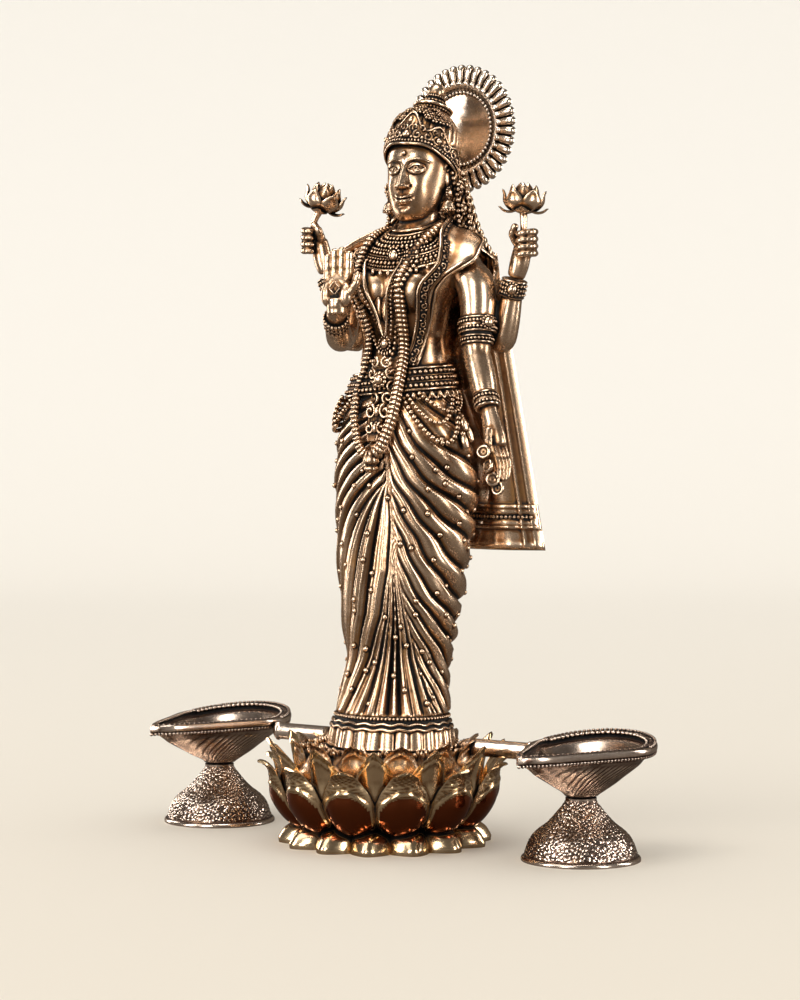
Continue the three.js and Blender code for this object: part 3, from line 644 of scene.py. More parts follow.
def halo():
    bm = bmesh.new()

    def place(u, v):
        turn = 2 * np.pi * u
        front = v < 0.78
        r = HALO_RADIUS * np.clip(np.where(front, v / 0.74, (1 - v) / 0.22), 0, 1)
        lobe = np.abs(np.cos(HALO_LOBES / 2 * turn))
        outside = step(0.68, 0.76, r / HALO_RADIUS)
        groove = line_at((HALO_LOBES / 2 * turn / np.pi) % 1 - 0.5, 0.08)
        edge = 1 - 0.09 * (1 - lobe ** 0.4) * outside
        dish = np.interp(r / HALO_RADIUS, (0, 0.3, 0.55, 0.64, 0.66, 0.70, 0.73, 0.76, 0.80, 0.9, 0.97, 1),
                         (-0.6, -0.3, 0.5, 1.2, 2.3, 2.7, 2.6, 1.6, 1.9, 2.2, 1.5, 0.2))
        face = dish + outside * (1.5 * lobe ** 0.5 - 0.9 * groove - 1.0)
        back = -1.7 * (r / HALO_RADIUS < 0.97) - 0.3
        depth = np.where(front, face, back)
        depth = np.where((v > 0.74) & (v < 0.78), 0.2 - (v - 0.74) / 0.04 * 0.6, depth)
        return stack(r * edge * np.sin(turn), -depth, r * edge * np.cos(turn))

    lay_grid(bm, HALO_LOBES * 14, 60, place)
    ring = HALO_RADIUS * 0.565
    for spot in upright_ring((0, -1.1, 0), ring, ring, HALO_BEADS + 1)[:-1]:
        ball(bm, spot, 0.85, 8, 6)
    tube(bm, [(-3, 1, -9, 2.2), (-4.5, -14, -12, 2.2)], 12, 24)
    set_by(bm, Matrix.Translation(HALO_CENTRE))
    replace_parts(cast("halo_scalloped", bm, polished), "halo")


# Skirt: the cloth over the body from the hem to the belt, with its folds

BODY = np.array([  # height from the hem, centre x, centre y, half-width, half-depth
    [0, 0, 4.5, 29.5, 25], [9, 0, 5, 28, 23.5], [15, 0, 5.5, 26, 22], [38, 0, 10, 23.5, 20],
    [56, 0, 11.5, 26.5, 21.5], [75, 0, 13, 29, 23.5], [100, 0, 15.5, 32, 25], [118, 0, 16, 33, 25.5],
    [135, 0, 15, 31.5, 24], [147, 0, 13.5, 28.5, 21.5], [160, 0.3, 13, 24.5, 18.5],
    [170, 0.8, 14, 21.5, 15.5],
    [179, 1.3, 14.5, 19, 13.5], [190, 1.6, 15, 20, 15], [202, 2, 15, 23, 17], [211, 2.4, 16, 30, 17],
    [218, 2.7, 17, 37, 15], [224, 3, 18, 29, 14], [231, 3.4, 19, 19, 12.5], [238, 3.6, 20, 11, 11],
    [247, 4.2, 22, 8.5, 9]])


def body_at(z):
    """The body's centre x and y, half-width and half-depth at a height, drawn smoothly through the levels."""
    z = np.asarray(z, float)
    k = np.clip(np.searchsorted(BODY[:, 0], z, side="right") - 1, 0, len(BODY) - 2)
    before, low, high, after = (BODY[np.clip(k + i, 0, len(BODY) - 1)] for i in (-1, 0, 1, 2))
    rise = (high[..., 0] - low[..., 0])[..., None]
    t = np.clip((z[..., None] - low[..., :1]) / rise, 0, 1)
    low_slope = (high - before) / np.maximum(high[..., :1] - before[..., :1], 1) * rise
    high_slope = (after - low) / np.maximum(after[..., :1] - low[..., :1], 1) * rise
    made = ((2 * t ** 3 - 3 * t ** 2 + 1) * low + (t ** 3 - 2 * t ** 2 + t) * low_slope
            + (3 * t ** 2 - 2 * t ** 3) * high + (t ** 3 - t ** 2) * high_slope)
    return made[..., 1], made[..., 2], made[..., 3], made[..., 4]


def on_body(angle, z, out=0.0):
    """A point on the body: angle in degrees from the front towards the figure's left."""
    x, y, wide, deep = body_at(z)
    turn = np.radians(angle)
    return stack(x + (wide + out) * np.sin(turn), y - (deep + out) * np.cos(turn), z)


def varied(index, seed):
    """A steady value from 0 to 1 for each fold."""
    return np.abs(np.sin(index * 12.9898 + seed * 78.233) * 43758.5453) % 1


HEM_HEIGHTS = (0, 16, 40, 60, 80, 100, 120, 160)
MM_PER_DEGREE = 0.49


def fan_edges(z):
    """Both edges of the front pleat fan, in degrees."""
    right = np.interp(z, HEM_HEIGHTS, (-36, -29, -5, 10, 16, 16, 13, 9))
    left = np.interp(z, HEM_HEIGHTS, (90, 80, 52, 36, 26, 20, 16, 12))
    return right, left


def rounded(f, sharpness=0.62):
    """One fold's profile: a round top between two narrow grooves, from -0.55 to 0.45."""
    return np.abs(np.sin(np.pi * f)) ** sharpness - 0.55


def fold_depth(angle, z):
    """How far the cloth stands out, in millimetres, at an angle and height."""
    angle, z = np.broadcast_arrays(np.asarray(angle, float), np.asarray(z, float))
    angle = (angle + 155) % 360 - 155
    right, left = fan_edges(z)

    # The fan of upright pleats between two deep grooves
    pleats = 8
    spread = np.clip((angle - right) / np.maximum(left - right, 1), 0, 1) * pleats
    gap = (left - right) * MM_PER_DEGREE / pleats
    index = np.floor(spread)
    fan = np.clip(0.40 * gap, 0, 2.2) * (0.75 + 0.5 * varied(index, 1)) * rounded(spread - index)
    fan = fan + np.clip(0.07 * gap, 0, 0.3) * np.sin(4 * np.pi * (spread - index) + 1.2)
    for groove, deep in ((2.0, 0.6), (4.0, 1.2), (5.0, 1.2), (7.0, 0.5)):
        fan = fan - deep * np.clip(gap / 3.5, 0, 1) * line_at(spread - groove, 0.24)

    # Long folds that fall down the figure's right side
    count = 15
    start = np.array([120 if k < 4 else 120 + 5.0 * (k - 3) for k in range(count + 1)], float)
    spacing = np.interp(z, HEM_HEIGHTS, (15, 17, 19, 20, 19.5, 17, 13, 12))[..., None]
    target = right[..., None] - np.arange(count + 1) * spacing
    fallen = 1 - np.exp(-np.clip(start - z[..., None], 0, None) / 17)
    lines = right[..., None] - (right[..., None] - target) * fallen - 0.35 * np.arange(count + 1)
    widths = np.maximum(lines[..., :-1] - lines[..., 1:], 0.05)
    phase = np.clip((lines[..., :-1] - angle[..., None]) / widths, 0, 1).sum(-1)
    index = np.clip(np.floor(phase), 0, count - 1)
    wide = np.take_along_axis(widths, index.astype(int)[..., None], -1)[..., 0] * MM_PER_DEGREE
    f = phase - index
    tall = np.clip(0.38 * wide, 0, 2.9) * (0.75 + 0.5 * varied(index, 2))
    long_fold = tall * rounded(f ** 0.9, 0.7)
    long_fold = long_fold + 0.12 * tall * (line_at(f - 0.3, 0.05) + line_at(f - 0.72, 0.05))
    long_fold = long_fold + 0.5 * np.sin(z * 0.16 + index * 1.9) * step(-30, -60, angle)

    # Rolls that sweep down and round the figure's left side, fine near the fan and heavy at the hip and thigh
    far = np.clip(angle - left, 0, None) * MM_PER_DEGREE
    drop = 44 * (1 - np.exp(-far / 15)) + 0.12 * far
    steep = 44 / 15 * np.exp(-far / 15) + 0.12
    pitch = 12.6
    phase = (z + drop) / pitch + 0.12 * np.sin(z * 0.11) + 0.06 * np.sin(z * 0.37 + 1)
    index = np.floor(phase)
    f = phase - index
    gap = pitch / np.sqrt(1 + steep ** 2)
    tall = np.clip(0.42 * gap, 0, 4.2) * (0.8 + 0.4 * varied(index, 3))
    swag = tall * (rounded(f, 0.6) + 0.1)
    near = np.exp(-far / 12)
    swag = swag * (1 - 0.45 * near) + near * 0.55 * rounded(np.mod(2 * phase, 1), 0.7)
    crease = line_at(f - 0.70, 0.035) - 0.6 * line_at(f - 0.77, 0.03)
    swag = swag + 0.45 * crease * step(1, 6, far) * (varied(index, 5) > 0.3)

    to_left = step(-1.2, 1.8, angle - left)
    to_right = step(-1.2, 1.8, right - angle)
    depth = fan * (1 - to_left) * (1 - to_right) + long_fold * to_right + swag * to_left
    behind = step(150, 200, np.where(angle < -60, angle + 360, angle)) * (angle > 0)
    depth = depth * (1 - behind) + behind * long_fold * 0.7
    hip = 1 - 0.4 * step(132, 152, z)
    return depth * hip * step(13.5, 17, z)


def skirt_point(angle, z, out=0.0):
    return on_body(angle, z, fold_depth(angle, z) + out)


def capped(shape, v):
    """Closes both ends of a body that is open there, at the middle of each end."""
    for end in (v < 1e-6, v > 1 - 1e-6):
        if end.any():
            shape[end] = shape[end].mean(0)
    return shape


def skirt():
    bm = bmesh.new()

    def cloth(u, v):
        angle = np.interp(u, (0, 0.12, 0.9, 1), (-155, -75, 140, 205))
        z = 14.4 + (161 - 14.4) * v
        return capped(skirt_point(angle, z), v)

    lay_grid(bm, 424, 230, cloth)
    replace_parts(cast_figure("skirt_cloth", bm), "figure")

    hem = bmesh.new()

    def flounce(u, v):
        angle = -155 + 360 * u
        z = np.interp(v, (0, 0.02, 0.6, 0.72, 0.9, 1), (0.2, 0.2, 9.2, 11, 14.6, 15))
        right, left = fan_edges(z * 0)
        pleat = (angle - right) / (left - right) * 9
        box = np.abs(np.sin(np.pi * pleat)) ** 0.45
        seam = 1 - np.abs(2 * u - 1) ** 60
        sway = 0.3 * np.sin(angle * 0.21) * (1 - v)
        depth = ((1.3 * box - 0.9) * (1 - step(0.55, 0.68, v)) + sway) * seam + 0.5
        return capped(on_body(angle, z, depth), v)

    lay_grid(hem, 320, 30, flounce)
    ring = np.linspace(-155, 205, 260)
    wavy = 0.35 * np.sin(np.radians(ring * 21))
    for height, radius in ((9.6, 0.62), (11.9, 0.6)):
        cord_line(hem, on_body(ring, height + wavy, 1.1), radius)
    beads(hem, on_body(ring, 14.3, 1.0), 1.75, 0.8)
    cast_figure("skirt_hem", hem)

    def petalled(co):
        co.xy *= 1 + 0.2 * math.cos(5 * math.atan2(co.y, co.x))

    def on_cloth(angle, height):
        return Vector(skirt_point(angle, height, 0.1))

    flower = small(0.8, 10, 5, petalled)
    rosettes = bmesh.new()
    for row in range(11):
        for k in range(17):
            angle = -150 + 360 * (k + 0.5 * (row % 2)) / 17 + 7 * math.sin(row * 1.7 + k * 2.1)
            height = 24 + 11.5 * row + 3.5 * math.sin(k * 4.3 + row * 2.6)
            under_apron = height > 138 and -35 < angle < 30
            if under_apron or fold_depth(angle, height) < -0.2:
                continue
            side = (on_cloth(angle + 3, height) - on_cloth(angle - 3, height)).normalized()
            up = (on_cloth(angle, height + 1.5) - on_cloth(angle, height - 1.5)).normalized()
            out = side.cross(up).normalized()
            turn = Matrix((side, out.cross(side), out)).transposed().to_4x4()
            copy = flower.copy()
            copy.transform(Matrix.Translation(on_cloth(angle, height)) @ turn @ Matrix.Scale(1.25, 4))
            rosettes.from_mesh(copy)
            bpy.data.meshes.remove(copy)
    cast_figure("skirt_rosettes", rosettes)


# The figure's body, arms and hands

ARMS = {
    "resting": [(31, 17, 215, 8.6), (37.5, 16.5, 208, 8.8), (39.5, 15.6, 200, 8.2), (40.3, 14, 190, 7.2),
                (41.6, 12, 178, 6.2), (44.0, 10.3, 171, 6.3), (47.5, 8.2, 163, 6.0), (52.4, 4.5, 151, 4.1)],
    "blessing": [(-27, 16, 214, 8.6), (-31.5, 15.6, 206, 8.4), (-32.6, 14.6, 198, 7.6),
                 (-31.4, 11.6, 187, 6.6), (-27.5, 3.5, 184.5, 6.3), (-21.5, -6.5, 189, 5.7),
                 (-15.5, -15, 195, 4.1), (-14.2, -16.6, 199, 3.9)],
    "raised_left": [(29, 24, 208, 7.6), (35, 26, 199, 7.2), (41, 27, 188, 6.4), (45.6, 26.2, 182.6, 6.0),
                    (48.6, 25.4, 190, 5.8), (51, 24.8, 199, 5.1), (54, 24, 210, 4.0)],
    "raised_right": [(-25, 24, 208, 7.6), (-30, 26, 198, 7.0), (-34, 27, 188, 6.4), (-37, 26.2, 184, 6.0),
                     (-41, 25.4, 192, 5.8), (-45, 24.8, 203, 5.1), (-50, 24, 215, 4.0)],
}
LEFT_FIST = (60.3, 22, 224)
RIGHT_FIST = (-55.3, 22, 229)


def on_flesh(angle, z, out=0.0):
    """A point on the bare body, which narrows to the neck above the shoulders."""
    x, y, wide, deep = body_at(z)
    neck = np.interp(z, (221, 226, 230, 234, 238, 250), (40, 24, 14.5, 9.6, 8.5, 8.0))
    lean = np.interp(z, (224, 234, 250), (0, 0.9, 1.2))
    turn = np.radians(angle)
    return stack(x + lean + (np.minimum(wide, neck) + out) * np.sin(turn),
                 y - (np.minimum(deep, neck * 0.96) + out) * np.cos(turn), z)


def figure_body():
    bm = bmesh.new()

    def trunk(u, v):
        z = 150 + 96 * v
        angle = 2 * np.pi * u
        shut = 14 * (1 - np.sqrt(np.clip(1 - np.abs(2 * v - 1) ** 40, 0, 1)))
        front = np.clip(np.cos(angle), 0, 1)
        soft = 0.9 * line_at(z - 177, 4.5) - 0.9 * line_at(z - 184, 1.5) * (0.4 + front)
        x, y, wide, deep = body_at(z)
        ends = (v < 1e-6) | (v > 1 - 1e-6)
        shape = on_flesh(np.degrees(angle), z, soft - np.minimum(shut, 6))
        shape[ends] = stack(x, y, z)[ends]
        return shape

    lay_grid(bm, 72, 90, trunk)
    for side in (1, -1):
        ball(bm, (2.2 + side * 10.2, 4.6, 205.4), (11.0, 9.8, 10.6), 32, 20)
        shoulder = [(2.4 + side * 9, 16, 216, 9), (2.4 + side * 20, 16, 219, 7.5),
                    (2.4 + side * 29, 17, 216, 7)]
        tube(bm, shoulder, 20, 20)
    for line in ARMS.values():
        tube(bm, line, 46, 24)
    cast_figure("figure_body", fused(bm, 0.75, 14))


def finger(bm, points):
    """A finger with its knuckle creases."""
    def creases(u, v):
        return -0.28 * (line_at(v - 0.36, 0.035) + line_at(v - 0.68, 0.035))

    tube(bm, points, 22, 12, 0.94, relief=creases)


def blessing_hand():
    hand = bmesh.new()
    tube(hand, [(0, 0.4, -4, 4.0), (0, 0.3, 0, 4.3), (0, 0.2, 3, 5.0)], 14, 20, 0.85)
    ball(hand, (0, 0.3, 6.6), (6.3, 2.9, 7.4), 28, 18)
    ball(hand, (4.0, -1.3, 3.9), (2.9, 2.3, 4.6), 20, 12)
    ball(hand, (-4.1, -1.0, 4.4), (2.5, 2.1, 5.0), 20, 12)
    for x, long in ((4.5, 10.0), (1.55, 11.6), (-1.5, 11.0), (-4.4, 8.8)):
        finger(hand, [(x * 0.97, 0, 9.5, 1.85), (x, -0.4, 11.5 + long * 0.5, 1.85),
                      (x * 1.02, -0.7, 11.5 + long, 1.65)])
    finger(hand, [(4.6, -0.9, 3.4, 2.1), (8.2, -1.9, 8, 1.9), (9.6, -2.0, 12.8, 1.55)])
    place = Matrix.Translation((-14.2, -16.8, 198.5)) @ turned(14, "Z") @ Matrix.Scale(1.14, 4)
    set_by(hand, place @ turned(-5, "X"))
    wrist = [(-22.5, -7.6, 187.6, 4.2), (-18.2, -12.6, 192.2, 4.4), (-14.6, -16.0, 198.0, 4.8),
             (-14.2, -16.6, 202, 4.4)]
    tube(hand, wrist, 20, 20)
    return hand, place


def giving_hand(bm):
    palm = [(51.6, 5.2, 154.5, 4.0), (53.6, 4.2, 149, 4.2), (56.6, 3.0, 141, 5.2), (59.3, 2.2, 134.5, 4.8)]
    tube(bm, palm, 26, 24, 0.66)
    for k in (-1.5, -0.5, 0.5, 1.5):
        finger(bm, [(58.6 + 0.3 * k, 2.2 + 2.4 * k, 136.5, 1.75), (62.4 + 0.2 * k, 1.2 + 2.4 * k, 128, 1.65),
                    (64.0 - 0.3 * abs(k), -1.2 + 2.2 * k, 119.8 + 0.9 * abs(k), 1.35)])
    finger(bm, [(56.0, -0.4, 144, 2.2), (57.4, -3.0, 138, 1.9), (59.4, -4.2, 132.5, 1.5)])


def fist(bm, centre, heel, side):
    """A hand closed round a lotus stem, its four fingers curled to the outside."""
    x, y, z = centre
    palm = [(*heel, 4.0), ((heel[0] + x) / 2 - side * 0.6, y + 1.6, (heel[2] + z) / 2, 4.7),
            (x - side * 1.2, y + 1.2, z + 2.5, 4.0)]
    tube(bm, palm, 24, 22, 0.8)
    for k in range(4):
        level = z - 3.4 + 3.15 * k
        bend = 0.5 * (1.5 - k)
        finger(bm, [(x - side * 1.5, y + 3.2, level + 0.6, 1.7), (x + side * 3.6, y + 2.4, level + 0.5, 1.75),
                    (x + side * 4.8, y - 2.4, level + 0.2, 1.7),
                    (x + side * 1.2, y - 4.8, level - 0.2 + 0.2 * bend, 1.6),
                    (x - side * 2.2, y - 3.6, level - 0.6, 1.4)])
    finger(bm, [(x - side * 3.6, y + 0.2, z + 1, 2.2), (x - side * 4.4, y - 3.2, z + 5.5, 1.9),
                (x - side * 1.6, y - 4.6, z + 10, 1.5)])


def hands():
    bm, place = blessing_hand()
    giving_hand(bm)
    fist(bm, LEFT_FIST, ARMS["raised_left"][-1][:3], 1)
    fist(bm, RIGHT_FIST, ARMS["raised_right"][-1][:3], -1)
    cast_figure("figure_hands", fused(bm, 0.4, 3))

    marks = bmesh.new()
    corners = [(0, -3.0, 9.4), (2.3, -3.0, 6.7), (0, -2.9, 4.0), (-2.3, -3.0, 6.7), (0, -3.0, 9.4)]
    corners = [place @ Vector(corner) for corner in corners]
    for first, second in zip(corners, corners[1:]):
        cord_line(marks, [first, (first + second) / 2, second], 0.32)
    coin_outline = [(0, 0), (0.9, 0.5), (1.9, 0.45), (2.3, 0.8), (2.9, 0.75), (3.1, 0.2), (3.1, -0.5),
                    (2.7, -0.8), (0, -0.8)]
    for spot, lean in (((57.3, -6.6, 133.6), 0.3), ((59.4, -6.2, 127.4), -0.4), ((61.6, -5.8, 121.6), 0.6),
                       ((63.6, -4.6, 117.6), 0)):
        coin = bmesh.new()
        lathe(coin, coin_outline, 20)
        add(marks, coin, Matrix.Translation(spot) @ Matrix.Rotation(lean, 4, "Z") @ turned(78, "X"))
    cast_figure("palm_mark_and_coins", marks)


def lotus_flower(bm, centre, tilt):
    bloom = bmesh.new()
    rings = (
        (6, 0.0, [(1.2, -1.6), (5.8, -1.0), (8.8, 2.2), (9.2, 5.6), (9.8, 8.2)], 10.4, 1.6, 1.0),
        (6, math.pi / 6, [(0.8, -1.0), (4.8, 0.6), (6.8, 4.2), (6.6, 8.0), (6.0, 10.4)], 8.6, 1.6, 1.0),
        (5, 0.2, [(0.6, 0), (3.2, 2.0), (4.4, 5.6), (3.6, 9.0), (1.6, 11.4)], 6.6, 1.4, 0.9),
    )
    for count, offset, path, width, bulge, thickness in rings:
        leaf = bmesh.new()
        dish = (0.5, 0.42, 0.25, 0.28)
        lay_grid(leaf, 24, 16, petal_shape(path, width, bulge, 0.5, 0.35, thickness, dish))
        copies_round(leaf, count, offset)
        add(bloom, leaf)
    sepals = bmesh.new()
    droop = [(1.4, -0.8), (5.6, -2.4), (9.0, -1.8), (11.4, 0.4)]
    lay_grid(sepals, 20, 14, petal_shape(droop, 8.0, 1.0, 0.4, 0.5, 1.0))
    copies_round(sepals, 4, 0.5)
    add(bloom, sepals)
    ball(bloom, (0, 0, -0.8), (2.6, 2.6, 2.0), 16, 10)
    add(bm, bloom, Matrix.Translation(centre) @ turned(tilt, "Y"))


def flowers():
    bm = bmesh.new()
    for (x, y, z), flower, tilt in ((LEFT_FIST, (59.5, 22, 241), 4), (RIGHT_FIST, (-51.5, 22, 246), 22)):
        side = 1 if x > 0 else -1
        stem = [(x + side * 0.4, y - 1.2, z - 4.5, 1.3), (x + side * 0.2, y - 1.6, z, 1.5),
                (x, y - 1.0, z + 10, 1.5), (*flower, 1.9)]
        tube(bm, stem, 24, 12)
        lotus_flower(bm, flower, tilt)
    cast_figure("lotus_flowers", bm)


# Head, in a frame at the middle of the head, turned a little to the figure's left

HEAD_PLACE = Matrix.Translation((3.4, 23.0, 256.6)) @ turned(7, "Z") @ Matrix.Scale(1.05, 4)
SKULL = [  # height, middle of the depth, half-width, half-depth
    (-19.4, -8.2, 0, 0), (-19.0, -8.6, 3.6, 3.0), (-17.6, -8.2, 6.4, 5.4), (-14.5, -6.6, 9.0, 8.4),
    (-9.5, -4.4, 11.3, 11.4), (-4, -2.2, 12.7, 13.4), (2, -0.8, 13.4, 14.6), (8, 0.2, 14.0, 15.2),
    (13, 1.2, 13.0, 14.4), (17, 2, 8, 9), (18.6, 2, 0, 0),
]


def mound(x, z, middle, level, wide, tall):
    return np.exp(-((x - middle) / wide) ** 2 - ((z - level) / tall) ** 2)


def face_relief(x, z):
    """How far a calm, full face stands out from the plain shape of the head, at x across and z up."""
    # Cheeks, hollows of the eyes and brows
    a = np.abs(x)
    out = 1.0 * mound(a, z, 6.6, -4.2, 3.6, 4.6)
    out = out - 1.5 * mound(a, z, 5.0, 4.0, 3.3, 2.3) - 0.5 * mound(x, z, 0, 5.2, 2.2, 2.0)
    brow = 7.3 - 0.045 * (a - 5.6) ** 2 - 0.02 * np.clip(a - 5.6, 0, 9) ** 2
    out = out + 0.38 * line_at(z - brow, 0.42) * step(1.2, 2.4, a) * (1 - step(9.4, 11, a))

    # Eyes
    across = np.clip((a - 5.3) / 3.25, -1, 1)
    inside_lids = np.clip(1 - across ** 2, 0, 1)
    tilt = 0.09 * (a - 5.3)
    upper = 3.25 + 1.45 * inside_lids + tilt
    lower = 3.25 - 0.95 * inside_lids + tilt
    near_eye = step(3.7, 3.2, np.abs(a - 5.3))
    globe = np.sqrt(np.clip(1 - ((a - 5.3) / 3.7) ** 2 - ((z - 3.4) / 2.7) ** 2, 0, 1))
    open_eye = step(-0.12, 0.12, upper - z) * step(-0.12, 0.12, z - lower) * (inside_lids > 0.01)
    out = out + 1.75 * globe - 0.42 * open_eye * step(0, 0.35, inside_lids)
    out = out + near_eye * (0.30 * line_at(z - upper - 0.12, 0.26) + 0.18 * line_at(z - lower + 0.1, 0.24))
    out = out - near_eye * 0.28 * line_at(z - upper - 1.15, 0.26)
    pupil = np.sqrt((a - 5.2) ** 2 + (z - 3.45) ** 2)
    out = out + open_eye * (0.22 * step(1.25, 1.0, pupil) - 0.34 * step(0.55, 0.3, pupil))

    # Nose
    ridge = np.interp(z, (-6.4, -5.9, -5.4, -4.7, -3.6, -2.2, 0.5, 3.6, 6.4, 9.0),
                      (0, 0.5, 1.9, 3.8, 4.4, 3.9, 2.5, 1.35, 0.7, 0.0))
    wide = np.interp(z, (-5, -3, 0, 4, 8), (1.75, 1.6, 1.3, 1.35, 2.2))
    out = out + ridge * np.exp(-(a / wide / 1.12) ** 2.1)
    nostril_edge = np.hypot((a - 3.35) / 0.8, (z + 4.2) / 1.4) - 0.2
    out = out + 1.55 * mound(a, z, 2.15, -4.25, 0.95, 0.95) - 0.5 * line_at(nostril_edge, 0.35)
    out = out - 0.6 * mound(a, z, 1.1, -5.7, 0.5, 0.3)
    out = out - 0.28 * mound(x, z, 0, -6.9, 0.55, 0.9)

    # Lips and chin
    out = out + 0.95 * mound(x, z, 0, -9.6, 4.4, 3.6)
    smile = -9.75 + 0.05 * x ** 2
    full = np.clip(1 - (a / 3.9) ** 2.2, 0, 1)
    out = out + 0.8 * full * line_at(z - smile - 0.85 + 0.25 * line_at(x, 0.7), 0.35 + 0.5 * full)
    out = out + 1.0 * full * line_at(z - smile + 1.15, 0.4 + 0.6 * full)
    out = out - (0.25 + 0.4 * full) * step(4.3, 3.2, a) * line_at(z - smile, 0.22)
    out = out - 0.35 * mound(a, z, 4.1, -9.1, 0.7, 0.8)
    out = out - 0.55 * mound(x, z, 0, -12.9, 2.6, 0.9) + 1.25 * mound(x, z, 0, -15.6, 3.2, 2.3)
    return out


def head():
    bm = bmesh.new()
    fine = route(SKULL, 300)
    chin, hairline = np.interp((-18.4, 10), fine[:, 0], range(301)) / 300

    def place(u, v):
        z, y, wide, deep = rows_at(fine, np.interp(v, (0, 0.06, 0.9, 1), (0, chin, hairline, 1)))
        angle = np.sign(u - 0.5) * np.pi * np.interp(np.abs(2 * u - 1), (0, 0.76, 1), (0, 0.5, 1))
        x = wide * np.sin(angle)
        out = face_relief(x, z) * step(0, 0.35, np.cos(angle)) * step(-18.9, -17.0, z)
        return stack(x + out * np.sin(angle), y - (deep + out) * np.cos(angle), z)

    lay_grid(bm, 236, 220, place)
    for side in (1, -1):
        tube(bm, [(side * 12.6, -3.6, 2.6, 0.7), (side * 13.9, -2.2, 5.6, 0.95), (side * 14.8, 1.2, 6.4, 1.0),
                  (side * 15.0, 3.6, 3.6, 1.0), (side * 14.4, 3.0, -1.2, 0.95), (side * 13.8, 0.6, -4.6, 1.0),
                  (side * 13.5, -1.4, -6.4, 1.5)], 40, 12)
        tube(bm, [(side * 13.4, -1.8, 2.4, 0.6), (side * 14.0, 0.6, 3.8, 0.65), (side * 14.2, 1.6, 1.4, 0.65),
                  (side * 13.7, 0.4, -1.8, 0.6)], 20, 10)
        ball(bm, (side * 13.2, 0.8, 0.2), (0.9, 3.0, 5.4), 20, 14)
    ball(bm, (0, -15.3, 10.0), (0.85, 0.7, 0.85), 12, 8)
    tube(bm, [(-1.2, 5.5, -6, 8.0), (-1.0, 3.2, -16, 8.0), (-1.4, 0, -24, 8.6), (-1.8, -2, -30, 9.6)], 40, 48,
         relief=lambda u, v: -0.3 * sum(line_at(v - level, 0.012) for level in (0.46, 0.58, 0.70)))
    set_by(bm, HEAD_PLACE)
    cast_figure("figure_head", bm)


def ring_on_head(angle, radius, z):
    """Points round the head at angles in degrees from its front."""
    turn = np.radians(angle)
    return stack(radius * np.sin(turn), -radius * np.cos(turn) * 1.06, z)


def spiral(centre, size, turns, start, hand, count=16):
    """Points of a flat scroll, as pairs of across and up."""
    t = np.linspace(0, 1, count)
    angle = start + hand * turns * 2 * np.pi * t
    r = size * (1 - 0.82 * t)
    return np.column_stack([centre[0] + r * np.cos(angle), centre[1] + r * np.sin(angle)])


